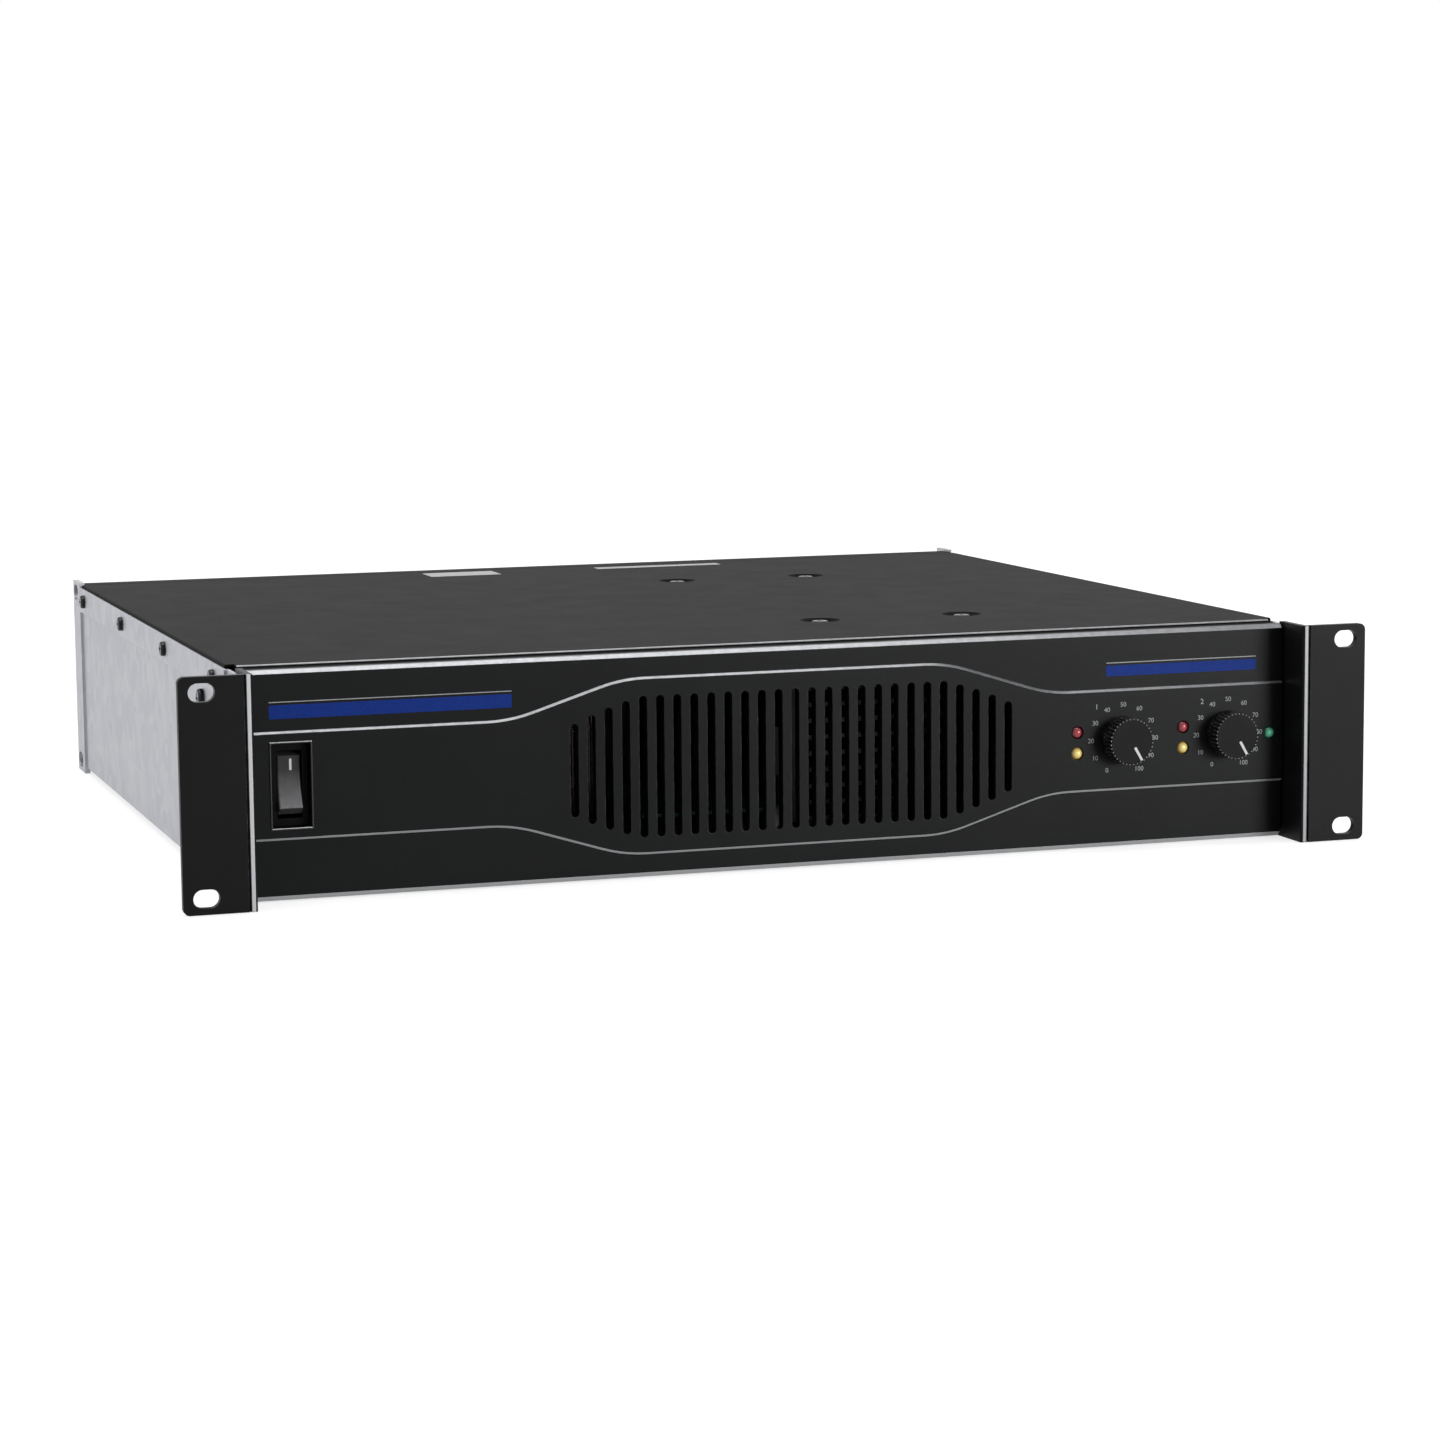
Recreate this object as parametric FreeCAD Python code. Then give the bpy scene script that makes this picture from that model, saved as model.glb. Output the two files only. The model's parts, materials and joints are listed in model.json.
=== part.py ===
import FreeCAD, Part
import math
import os

# Two-unit rack power amplifier. Units are millimetres.
# Frame: +X is to the right seen from the front, +Z is up, the front faces -Y.
# Origin: middle of the overall width and depth, level with the foot of the rack ears.

# Overall sizes
rack_width = 482.6
ear_height = 88.1
overall_depth = 402.0

# Rack ears
ear_reach = 23.0
ear_thickness = 3.0
ear_corner = 2.5
ear_flange = 2.4
ear_flange_end = 95.0
ear_bead = 2.6
ear_groove = 0.7
ear_groove_depth = 0.8
ear_slot_edge = 8.75
ear_slot_length = 10.0
ear_slot_width = 7.0
ear_slot_pitch = 76.2
ear_screw_d = 82.0
ear_screw_above_floor = 14.3
ear_screw_below_joggle = 5.7

# Sheet-metal box
sheet = 1.2
floor_z = 2.5
cover_drop = 0.1
joggle_below_top = 12.3
strip_below_top = 1.4
cover_front_d = 31.0
cover_overhang = 8.4
cover_notch = 5.0
sheet_gap = 0.3
tab_height = 89.0
tab_length = 19.0
tab_slot_length = 12.0
tab_slot_width = 7.0
tab_slot_inset = 5.2
tab_slot_from_rear = 7.65
rear_recess = 16.5
side_screw_front_d = 52.6
side_screw_rear_d = 32.3
side_screw_count = 4
side_screw_below_top = 6.5
panel_flange = 12.0
subpanel_flange = 25.0

# Dimples in the cover, each with a screw into a heatsink
dimple_radius = 8.5
dimple_floor_radius = 5.6
dimple_depth = 2.0
dimple_half_x = 31.5
dimple_first_d = 100.5
dimple_second_d = 293.5

# Front panel
panel_setback = 16.0
panel_thickness = 4.0
panel_side_gap = 0.8
panel_foot_z = 0.3
panel_below_ear = 0.8
panel_top_chamfer = 1.5
panel_foot_chamfer = 1.9
plateau_rise = 1.0
plateau_chamfer = 0.9
plateau_half_side = 20.5
plateau_half_middle = 34.5
plateau_bend_x = 88.8
plateau_bend_radius = 60.0
plateau_slope = math.radians(17.5)
plateau_shift = -1.0
vent_count = 27
vent_pitch = 6.885
vent_width = 3.2
vent_half_height = 27.5
vent_full_slots = 9
vent_end_slope = 1.48
vent_end_curve = 0.22
vent_shift = 2.5

# Power switch
switch_from_edge = 15.9
switch_opening_width = 14.9
switch_opening_height = 31.8
switch_body_width = 12.4
switch_body_height = 27.0
switch_body_depth = 21.0
switch_flange = 1.0
rocker_width = 9.0
rocker_half_height = 11.9
rocker_crest = 9.9
rocker_face = 6.2
rocker_dip = 1.5
rocker_tilt = math.radians(10.0)
rocker_pin_radius = 1.2
pivot_behind_flange = 4.9

# Gain controls and indicators
knob_from_edge = 24.4
knob_pitch = 46.4
knob_radius = 9.5
knob_top_radius = 9.1
knob_height = 8.3
knob_gap = 0.35
knob_flutes = 36
flute_radius = 0.5
shaft_radius = 3.0
bushing_radius = 3.5
pot_size = 16.0
pot_depth = 8.0
nut_across_flats = 10.0
nut_thickness = 2.2
led_offset = 20.0
led_half_pitch = 4.2
power_led_offset = 18.6
led_radius = 2.5
led_proud = 0.9
board = 1.6

# Transformer
toroid_radius = 76.0
toroid_hole = 22.0
toroid_height = 60.0
toroid_round = 12.0
toroid_from_wall = 91.0
toroid_d = 115.0
pad_thickness = 2.0
dish_radius = 58.0
dish_thickness = 2.0
bolt_radius = 4.0

# Heatsink tunnel and fan
tunnel_x = 75.0
tunnel_half_width = 50.0
heatsink_base = 6.0
fin_thickness = 2.0
fin_count = 11
fin_gap_half = 3.0
heatsink_overrun = 14.5
foot_height = 3.0
fan_size = 80.0
fan_thickness = 25.0
fan_opening = 38.0
fan_screw_pitch = 71.5
fan_hub_radius = 16.0
fan_blades = 7
fan_axle_radius = 1.5
running_gap = 0.05
duct_wall = 1.5

# Boards
board_z = 12.0
transistor_count = 8
transistor_width = 15.6
transistor_height = 20.0
transistor_thickness = 5.0
can_radius = 17.5
can_height = 50.0

# Rear connectors
inlet_from_wall = 36.0
speaker_from_wall = 91.0
post_from_wall = 131.0
post_pitch = 19.0
input_from_wall = 66.0
jack_step = 28.0
mode_step = 51.0
row_half_pitch = 18.5
flange_width = 26.0
flange_height = 31.0
flange_thickness = 2.5
socket_radius = 12.0
socket_depth = 24.0
post_stud_radius = 3.0
post_base_radius = 7.0
post_base = 3.0
post_cap_radius = 6.4
post_cap_length = 11.7
post_cap_gap = 0.3
jack_bore = 3.25
jack_bushing = 4.7
mode_travel = 8.0

# Worked-out places
half_width = rack_width / 2
front_y = -overall_depth / 2
half_body = half_width - ear_reach
wall_outer = half_body - sheet
wall_inner = wall_outer - sheet
ear_inner = wall_inner - ear_flange
floor_top = floor_z + sheet
cover_top = ear_height - cover_drop
cover_under = cover_top - sheet
joggle_z = cover_top - joggle_below_top
strip_top = cover_top - strip_below_top
rear_y = front_y + overall_depth
rear_face_y = rear_y - rear_recess
rear_inner_y = rear_face_y - sheet
tab_front_y = rear_y - tab_length
cover_front_y = front_y + cover_front_d
plateau_y = front_y + panel_setback
panel_y = plateau_y + plateau_rise
panel_back_y = panel_y + panel_thickness
subpanel_back_y = panel_back_y + sheet
panel_half = ear_inner - panel_side_gap
panel_top = ear_height - panel_below_ear
panel_mid_z = (panel_foot_z + panel_top) / 2
switch_x = -panel_half + switch_from_edge
knob_x = {1: panel_half - knob_from_edge - knob_pitch, 2: panel_half - knob_from_edge}
board_back_y = subpanel_back_y + pot_depth
rear_mid_z = (floor_top + cover_under) / 2
rows = {1: rear_mid_z + row_half_pitch, 2: rear_mid_z - row_half_pitch}
heatsink_top = cover_under - dimple_depth
heatsink_foot = floor_top + foot_height
heatsink_front_y = front_y + dimple_first_d - heatsink_overrun
heatsink_rear_y = front_y + dimple_second_d + heatsink_overrun
fan_front_y = rear_inner_y - fan_thickness
toroid_x = -wall_inner + toroid_from_wall
toroid_y = front_y + toroid_d
inlet_x = -wall_inner + inlet_from_wall
speaker_x = -wall_inner + speaker_from_wall
post_x = {1: -wall_inner + post_from_wall, 2: -wall_inner + post_from_wall + post_pitch}
input_x = wall_inner - input_from_wall
jack_x = input_x + jack_step
mode_x = input_x + mode_step
input_board_y = rear_face_y + flange_thickness - socket_depth - board
inlet_z = rows[1]
breaker_z = rows[2]


def point(x, y, z):
    return FreeCAD.Vector(x, y, z)


def box(x0, x1, y0, y1, z0, z1):
    return Part.makeBox(x1 - x0, y1 - y0, z1 - z0, point(x0, y0, z0))


def side_box(side, x0, x1, y0, y1, z0, z1):
    """Box between two distances from the middle plane, on the left (-1) or right (1)."""
    low = min(side * x0, side * x1)
    high = max(side * x0, side * x1)
    return box(low, high, y0, y1, z0, z1)


def rod_y(x, z, y0, y1, radius):
    return Part.makeCylinder(radius, y1 - y0, point(x, y0, z), point(0, 1, 0))


def rod_z(x, y, z0, z1, radius):
    return Part.makeCylinder(radius, z1 - z0, point(x, y, z0), point(0, 0, 1))


def rod_x(x0, x1, y, z, radius):
    return Part.makeCylinder(radius, x1 - x0, point(x0, y, z), point(1, 0, 0))


def fuse(shapes):
    if len(shapes) == 1:
        return shapes[0]
    return shapes[0].multiFuse(shapes[1:]).removeSplitter()


def cut(shape, tools):
    return shape.cut(Part.makeCompound(tools))


def hexagon_y(x, z, y0, y1, across_flats):
    radius = across_flats / math.sqrt(3)
    corners = []
    for step in range(7):
        angle = math.radians(60 * step)
        corners.append(point(x + radius * math.cos(angle), y0, z + radius * math.sin(angle)))
    return Part.Face(Part.makePolygon(corners)).extrude(point(0, y1 - y0, 0))


def obround_y(x, z, length, width, y0, y1, upright):
    """Slot-shaped bar along Y, with round ends; length runs along Z if upright, else along X."""
    half = (length - width) / 2
    radius = width / 2
    if upright:
        core = box(x - radius, x + radius, y0, y1, z - half, z + half)
        ends = [rod_y(x, z - half, y0, y1, radius), rod_y(x, z + half, y0, y1, radius)]
    else:
        core = box(x - half, x + half, y0, y1, z - radius, z + radius)
        ends = [rod_y(x - half, z, y0, y1, radius), rod_y(x + half, z, y0, y1, radius)]
    return fuse([core] + ends)


def edges_at(shape, test):
    """Edges whose two end points both pass a test on (x, y, z)."""
    found = []
    for edge in shape.Edges:
        if all(test(v.X, v.Y, v.Z) for v in edge.Vertexes):
            found.append(edge)
    return found


def near(a, b):
    return abs(a - b) < 1e-4


def screw_y(x, z, seat_y, head_radius, head_height, thread_radius, thread_length):
    """Pan-head screw whose head stands behind the seat, towards +Y."""
    head = rod_y(x, z, seat_y, seat_y + head_height, head_radius)
    head = head.makeFillet(head_height * 0.45, edges_at(head, lambda a, b, c: near(b, seat_y + head_height)))
    thread = rod_y(x, z, seat_y - thread_length, seat_y, thread_radius)
    recess = box(x - head_radius * 0.55, x + head_radius * 0.55, seat_y + head_height * 0.45,
                 seat_y + head_height, z - 0.45, z + 0.45)
    cross = box(x - 0.45, x + 0.45, seat_y + head_height * 0.45,
                seat_y + head_height, z - head_radius * 0.55, z + head_radius * 0.55)
    return cut(fuse([head, thread]), [recess, cross])


def turned(shape, axis, degrees):
    copy = shape.copy()
    copy.rotate(point(0, 0, 0), axis, degrees)
    return copy


def moved(shape, x, y, z):
    copy = shape.copy()
    copy.translate(point(x, y, z))
    return copy


# Chassis, cover and panels

def side_screw_places():
    first = front_y + side_screw_front_d
    last = rear_y - side_screw_rear_d
    step = (last - first) / (side_screw_count - 1)
    return [first + step * index for index in range(side_screw_count)]


side_screw_z = cover_top - side_screw_below_top
side_thread = 1.5
hole_gap = 0.1


def ear_screw_places():
    return (floor_top + ear_screw_above_floor, joggle_z - ear_screw_below_joggle)


def tab_slot(side, z):
    middle = rear_y - tab_slot_from_rear
    half = (tab_slot_length - tab_slot_width) / 2
    radius = tab_slot_width / 2
    low = min(side * (wall_inner - 1), side * (half_body + 1))
    high = max(side * (wall_inner - 1), side * (half_body + 1))
    core = box(low, high, middle - half, middle + half, z - radius, z + radius)
    ends = [rod_x(low, high, middle - half, z, radius), rod_x(low, high, middle + half, z, radius)]
    return fuse([core] + ends)


def side_wall(side):
    wall_front_y = front_y + ear_thickness + sheet_gap
    wall = side_box(side, wall_inner, wall_outer, wall_front_y, rear_y, floor_z, joggle_z + sheet)
    nose = side_box(side, wall_inner, wall_outer, wall_front_y, cover_front_y + sheet, floor_z, strip_top)
    ledge = side_box(side, wall_inner, half_body, cover_front_y, rear_y, joggle_z, joggle_z + sheet)
    strip = side_box(side, wall_outer, half_body, cover_front_y, rear_y, joggle_z, strip_top)
    tab = side_box(side, wall_inner, half_body, tab_front_y, rear_y, 0, tab_height)
    return [wall, nose, ledge, strip, tab]


def side_holes(side):
    holes = []
    low = min(side * (wall_inner - 1), side * (half_body + 1))
    high = max(side * (wall_inner - 1), side * (half_body + 1))
    for y in side_screw_places():
        holes.append(rod_x(low, high, y, side_screw_z, side_thread + hole_gap))
    for z in ear_screw_places():
        holes.append(rod_x(low, high, front_y + ear_screw_d, z, 2.0 + hole_gap))
    holes.append(tab_slot(side, tab_slot_inset))
    holes.append(tab_slot(side, tab_height - tab_slot_inset))
    return holes


def chassis_tray():
    floor = box(-wall_inner, wall_inner, panel_back_y, rear_face_y, floor_z, floor_top)
    tray = fuse([floor] + side_wall(-1) + side_wall(1))
    countersink = Part.makeCone(bolt_radius + sheet + 1, bolt_radius + 1, sheet,
                                point(toroid_x, toroid_y, floor_z), point(0, 0, 1))
    return cut(tray, side_holes(-1) + side_holes(1) + [countersink])


def dimple_places():
    places = []
    for x in (tunnel_x - dimple_half_x, tunnel_x + dimple_half_x):
        for d in (dimple_first_d, dimple_second_d):
            places.append((x, front_y + d))
    return places


def dimple_dish(x, y):
    low = cover_under - dimple_depth
    outer = Part.makeCone(dimple_floor_radius + sheet, dimple_radius + sheet, dimple_depth + sheet,
                          point(x, y, low), point(0, 0, 1))
    inner = dimple_hollow(x, y)
    return outer.cut(inner).cut(rod_z(x, y, low - 1, cover_top, side_thread + hole_gap))


def dimple_hollow(x, y):
    return Part.makeCone(dimple_floor_radius, dimple_radius, dimple_depth,
                         point(x, y, cover_top - dimple_depth), point(0, 0, 1))


def top_cover():
    flange_end_y = tab_front_y - sheet_gap
    plate_rear_y = rear_face_y + cover_overhang - sheet_gap
    plate = box(-wall_outer, wall_outer, cover_front_y, flange_end_y, cover_under, cover_top)
    rim = edges_at(plate, lambda a, b, c: near(abs(a), wall_outer) and near(c, cover_top))
    rim += edges_at(plate, lambda a, b, c: near(b, cover_front_y) and near(c, cover_top))
    plate = plate.makeFillet(sheet * 0.6, rim)
    tail = box(-wall_inner + sheet_gap, wall_inner - sheet_gap, flange_end_y, plate_rear_y,
               cover_under, cover_top)
    pieces = [plate, tail]
    for side in (-1, 1):
        pieces.append(side_box(side, wall_inner, wall_outer, cover_front_y + cover_notch, flange_end_y,
                               joggle_z + sheet + sheet_gap, cover_under))
    notches = []
    for side in (-1, 1):
        notches.append(side_box(side, ear_inner, half_body, cover_front_y - 1, cover_front_y + cover_notch,
                                joggle_z, cover_top + 1))
        for y in side_screw_places():
            low = min(side * (wall_inner - 1), side * (half_body + 1))
            notches.append(rod_x(low, low + 2 * sheet + 2, y, side_screw_z, side_thread + hole_gap))
    cover = cut(fuse(pieces), notches)
    for x, y in dimple_places():
        cover = cover.cut(dimple_hollow(x, y)).cut(rod_z(x, y, cover_under - 1, cover_top, dimple_floor_radius))
        cover = cover.fuse(dimple_dish(x, y))
    return cover.removeSplitter()


def slope_points(side, up):
    """Points of the S-bend in the plateau's edge, from the panel's side to its middle."""
    drop = plateau_bend_radius * (1 - math.cos(plateau_slope))
    reach = plateau_bend_radius * math.sin(plateau_slope)
    straight = (plateau_half_middle - plateau_half_side - 2 * drop) / math.sin(plateau_slope)
    span = 2 * reach + straight * math.cos(plateau_slope)
    half_drop = plateau_bend_radius * (1 - math.cos(plateau_slope / 2))
    half_reach = plateau_bend_radius * math.sin(plateau_slope / 2)
    outer = plateau_bend_x + span / 2
    inner = plateau_bend_x - span / 2
    local = [(outer, plateau_half_side), (outer - half_reach, plateau_half_side + half_drop),
             (outer - reach, plateau_half_side + drop), (inner + reach, plateau_half_middle - drop),
             (inner + half_reach, plateau_half_middle - half_drop), (inner, plateau_half_middle)]
    return [point(plateau_shift + side * x, plateau_y, panel_mid_z + up * z) for x, z in local]


def slope_edges(points):
    return [Part.Arc(points[0], points[1], points[2]).toShape(),
            Part.makeLine(points[2], points[3]),
            Part.Arc(points[3], points[4], points[5]).toShape()]


def plateau():
    low_left = slope_points(-1, -1)
    low_right = slope_points(1, -1)[::-1]
    top_right = slope_points(1, 1)
    top_left = slope_points(-1, 1)[::-1]
    low = panel_mid_z - plateau_half_side
    high = panel_mid_z + plateau_half_side
    corners = [point(-panel_half, plateau_y, low), point(panel_half, plateau_y, low),
               point(panel_half, plateau_y, high), point(-panel_half, plateau_y, high)]
    edges = [Part.makeLine(corners[0], low_left[0])] + slope_edges(low_left)
    edges += [Part.makeLine(low_left[5], low_right[0])] + slope_edges(low_right)
    edges += [Part.makeLine(low_right[5], corners[1]), Part.makeLine(corners[1], corners[2])]
    edges += [Part.makeLine(corners[2], top_right[0])] + slope_edges(top_right)
    edges += [Part.makeLine(top_right[5], top_left[0])] + slope_edges(top_left)
    edges += [Part.makeLine(top_left[5], corners[3]), Part.makeLine(corners[3], corners[0])]
    solid = Part.Face(Part.Wire(edges)).extrude(point(0, plateau_rise + 1, 0))
    rim = [edge for edge in edges_at(solid, lambda a, b, c: near(b, plateau_y))
           if not all(near(abs(v.X), panel_half) for v in edge.Vertexes)]
    return solid.makeChamfer(plateau_chamfer, rim)


def vent_slots(y0, y1):
    slots = []
    middle = (vent_count - 1) // 2
    for index in range(vent_count):
        offset = index - middle
        beyond = max(0, abs(offset) - vent_full_slots)
        half = vent_half_height - vent_end_slope * beyond - vent_end_curve * beyond ** 2
        slots.append(obround_y(vent_shift + offset * vent_pitch, panel_mid_z - 0.3, 2 * half, vent_width,
                               y0, y1, True))
    return slots


def led_places():
    places = {"clip": [], "signal": [], "power": []}
    for number in (1, 2):
        x = knob_x[number] - led_offset
        places["clip"].append((x, panel_mid_z - 0.5 + led_half_pitch))
        places["signal"].append((x, panel_mid_z - 0.5 - led_half_pitch))
    places["power"].append((knob_x[2] + power_led_offset, panel_mid_z - 0.5))
    return places


def front_panel():
    plate = box(-panel_half, panel_half, panel_y, panel_back_y, panel_foot_z, panel_top)
    plate = plate.makeChamfer(panel_top_chamfer, edges_at(
        plate, lambda a, b, c: near(b, panel_y) and near(c, panel_top)))
    plate = plate.makeChamfer(panel_foot_chamfer, edges_at(
        plate, lambda a, b, c: near(b, panel_y) and near(c, panel_foot_z)))
    tools = vent_slots(plateau_y - 1, panel_back_y + 1)
    tools.append(switch_opening(plateau_y - 1, panel_back_y + 1))
    for x in knob_x.values():
        tools.append(rod_y(x, panel_mid_z, plateau_y - 1, panel_back_y + 1, nut_across_flats / math.sqrt(3) + 0.4))
    for group in led_places().values():
        for x, z in group:
            tools.append(rod_y(x, z, plateau_y - 1, panel_back_y + 1, led_radius + hole_gap))
    panel = cut(plate.fuse(plateau()), tools).removeSplitter()
    half_w = switch_opening_width / 2
    half_h = switch_opening_height / 2
    rim = edges_at(panel, lambda a, b, c: near(b, plateau_y) and abs(a - switch_x) < half_w + 0.1
                   and abs(c - panel_mid_z) < half_h + 0.1)
    return panel.makeChamfer(0.45, rim)


def switch_opening(y0, y1):
    half_w = switch_opening_width / 2
    half_h = switch_opening_height / 2
    hole = box(switch_x - half_w, switch_x + half_w, y0, y1, panel_mid_z - half_h, panel_mid_z + half_h)
    upright = [edge for edge in hole.Edges if near(edge.Length, y1 - y0)]
    return hole.makeFillet(0.8, upright)


def front_subpanel():
    web = box(-ear_inner, ear_inner, panel_back_y, subpanel_back_y, floor_top, cover_under)
    top_flange = box(-ear_inner, ear_inner, panel_back_y, panel_back_y + subpanel_flange,
                     cover_under - sheet, cover_under)
    foot_flange = box(-ear_inner, ear_inner, panel_back_y, panel_back_y + panel_flange,
                      floor_top, floor_top + sheet)
    subpanel = fuse([web, top_flange, foot_flange])
    half_vents = (vent_count - 1) / 2 * vent_pitch + vent_width
    tools = [box(vent_shift - half_vents, vent_shift + half_vents, panel_back_y - 1, subpanel_back_y + 1,
                 panel_mid_z - vent_half_height - 1, panel_mid_z + vent_half_height + 1)]
    tools.append(box(switch_x - switch_body_width / 2 - hole_gap, switch_x + switch_body_width / 2 + hole_gap,
                     panel_back_y - 1, subpanel_back_y + 1, panel_mid_z - switch_body_height / 2 - hole_gap,
                     panel_mid_z + switch_body_height / 2 + hole_gap))
    for x in knob_x.values():
        tools.append(rod_y(x, panel_mid_z, panel_back_y - 1, subpanel_back_y + 1, bushing_radius + hole_gap))
    for group in led_places().values():
        for x, z in group:
            tools.append(rod_y(x, z, panel_back_y - 1, subpanel_back_y + 1, led_radius + hole_gap))
    return cut(subpanel, tools)


def rack_ear(side):
    plate = side_box(side, ear_inner, half_width, front_y, front_y + ear_thickness, 0, ear_height)
    corners = edges_at(plate, lambda a, b, c: near(abs(a), half_width))
    corners = [edge for edge in corners if near(edge.Length, ear_thickness)]
    plate = plate.makeFillet(ear_corner, corners)
    front_flange = side_box(side, ear_inner, wall_inner, front_y, panel_back_y, 0, ear_height)
    rear_flange = side_box(side, ear_inner, wall_inner, panel_back_y, front_y + ear_flange_end,
                           floor_top, joggle_z)
    ear = fuse([plate, front_flange, rear_flange])
    bead = edges_at(ear, lambda a, b, c: near(b, front_y) and near(abs(a), ear_inner))
    ear = ear.makeFillet(1.1, bead)
    groove_x = ear_inner + ear_bead
    tools = [side_box(side, groove_x, groove_x + ear_groove, front_y - 1, front_y + ear_groove_depth,
                      -1, ear_height + 1)]
    for z in (ear_height / 2 - ear_slot_pitch / 2, ear_height / 2 + ear_slot_pitch / 2):
        tools.append(obround_y(side * (half_width - ear_slot_edge), z, ear_slot_length, ear_slot_width,
                               front_y - 1, front_y + ear_thickness + 1, False))
    low = min(side * (ear_inner - 1), side * (wall_outer + 1))
    high = max(side * (ear_inner - 1), side * (wall_outer + 1))
    for z in ear_screw_places():
        tools.append(rod_x(low, high, front_y + ear_screw_d, z, 2.0 + hole_gap))
    return cut(ear, tools)


def screw_x(side, seat_x, y, z, head_radius, head_height, thread_radius, thread_length):
    """Pan-head screw driven into the side of the box."""
    screw = screw_y(0, 0, 0, head_radius, head_height, thread_radius, thread_length)
    screw = turned(screw, point(0, 0, 1), -90 * side)
    return moved(screw, side * seat_x, y, z)


def cover_side_screws():
    screws = []
    for side in (-1, 1):
        for y in side_screw_places():
            screws.append(screw_x(side, half_body, y, side_screw_z, 3.0, 2.0, side_thread, 2 * sheet + 2))
    return screws


def ear_screws():
    screws = []
    for side in (-1, 1):
        for z in ear_screw_places():
            screws.append(screw_x(side, wall_outer, front_y + ear_screw_d, z, 3.8, 2.4, 2.0,
                                  sheet + ear_flange + 2))
    return screws


def cover_top_screws():
    screws = []
    for x, y in dimple_places():
        screw = screw_y(0, 0, 0, 3.4, 1.7, side_thread, sheet + 4)
        screw = turned(screw, point(1, 0, 0), 90)
        screws.append(moved(screw, x, y, cover_top - dimple_depth))
    return screws


# Power switch

def power_switch_body():
    flange_front_y = panel_back_y - switch_flange
    half_w = switch_opening_width / 2 - 0.25
    half_h = switch_opening_height / 2 - 0.25
    flange = box(switch_x - half_w, switch_x + half_w, flange_front_y, panel_back_y,
                 panel_mid_z - half_h, panel_mid_z + half_h)
    body = box(switch_x - switch_body_width / 2, switch_x + switch_body_width / 2, panel_back_y,
               panel_back_y + switch_body_depth, panel_mid_z - switch_body_height / 2,
               panel_mid_z + switch_body_height / 2)
    shape = fuse([flange, body])
    hollow_w = rocker_width / 2 + 0.3
    hollow_h = rocker_half_height + 0.9
    hollow = box(switch_x - hollow_w, switch_x + hollow_w, flange_front_y - 1,
                 flange_front_y + pivot_behind_flange + 7, panel_mid_z - hollow_h, panel_mid_z + hollow_h)
    pin_hole = rod_x(switch_x - hollow_w - 1.1, switch_x + hollow_w + 1.1, flange_front_y + pivot_behind_flange,
                     panel_mid_z, rocker_pin_radius + running_gap)
    shape = cut(shape, [hollow, pin_hole])
    blades = []
    for x in (-3.2, 3.2):
        for z in (-7.0, 7.0):
            blades.append(box(switch_x + x - 0.4, switch_x + x + 0.4, panel_back_y + switch_body_depth - 1,
                              panel_back_y + switch_body_depth + 8, panel_mid_z + z - 3.1, panel_mid_z + z + 3.1))
    return fuse([shape] + blades)


def power_rocker():
    """Rocker with a hollow face, drawn level and then tilted to its pressed-in end."""
    profile = [(rocker_face, rocker_crest), (2.0, rocker_half_height), (-2.0, 8.0), (-4.0, 3.0),
               (-4.0, -3.0), (-2.0, -8.0), (2.0, -rocker_half_height), (rocker_face, -rocker_crest)]
    corners = [point(-rocker_width / 2, -forward, up) for forward, up in profile]
    middle = point(-rocker_width / 2, -(rocker_face - rocker_dip), 0)
    edges = [Part.makeLine(corners[index], corners[index + 1]) for index in range(len(corners) - 1)]
    edges.append(Part.Arc(corners[-1], middle, corners[0]).toShape())
    body = Part.Face(Part.Wire(edges)).extrude(point(rocker_width, 0, 0))
    crest = edges_at(body, lambda a, b, c: near(b, -rocker_face) and near(abs(c), rocker_crest))
    body = body.makeFillet(0.8, crest)
    pin = rod_x(-rocker_width / 2 - 1.2, rocker_width / 2 + 1.2, 0, 0, rocker_pin_radius)
    rocker = turned(fuse([body, pin]), point(1, 0, 0), -math.degrees(rocker_tilt))
    return moved(rocker, switch_x, panel_back_y - switch_flange + pivot_behind_flange, panel_mid_z)


# Gain controls

def gain_knob(number):
    x = knob_x[number]
    base_y = plateau_y - knob_gap
    top_y = base_y - knob_height
    body = Part.makeCone(knob_radius, knob_top_radius, knob_height, point(x, base_y, panel_mid_z), point(0, -1, 0))
    body = body.makeFillet(0.35, edges_at(body, lambda a, b, c: near(b, top_y)))
    tools = [rod_y(x, panel_mid_z, base_y - 6.5, base_y + 1, shaft_radius + running_gap)]
    for index in range(knob_flutes):
        angle = 2 * math.pi * index / knob_flutes
        flute_x = x + (knob_radius + 0.15) * math.cos(angle)
        flute_z = panel_mid_z + (knob_radius + 0.15) * math.sin(angle)
        tools.append(rod_y(flute_x, flute_z, top_y - 1, base_y - 1.6, flute_radius))
    return cut(body, tools)


def pot_shaft(number):
    base_y = plateau_y - knob_gap
    return rod_y(knob_x[number], panel_mid_z, base_y - 6.5, board_back_y - 2, shaft_radius)


def gain_pot(number):
    x = knob_x[number]
    half = pot_size / 2
    body = box(x - half, x + half, subpanel_back_y, board_back_y, panel_mid_z - half, panel_mid_z + half)
    bushing = rod_y(x, panel_mid_z, panel_back_y - nut_thickness - 0.6, subpanel_back_y, bushing_radius)
    bore = rod_y(x, panel_mid_z, panel_y - 1, board_back_y - 1.5, shaft_radius + running_gap)
    return fuse([body, bushing]).cut(bore)


def pot_nut(number):
    x = knob_x[number]
    nut = hexagon_y(x, panel_mid_z, panel_back_y - nut_thickness, panel_back_y, nut_across_flats)
    return nut.cut(rod_y(x, panel_mid_z, panel_y, panel_back_y + 1, bushing_radius))


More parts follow.
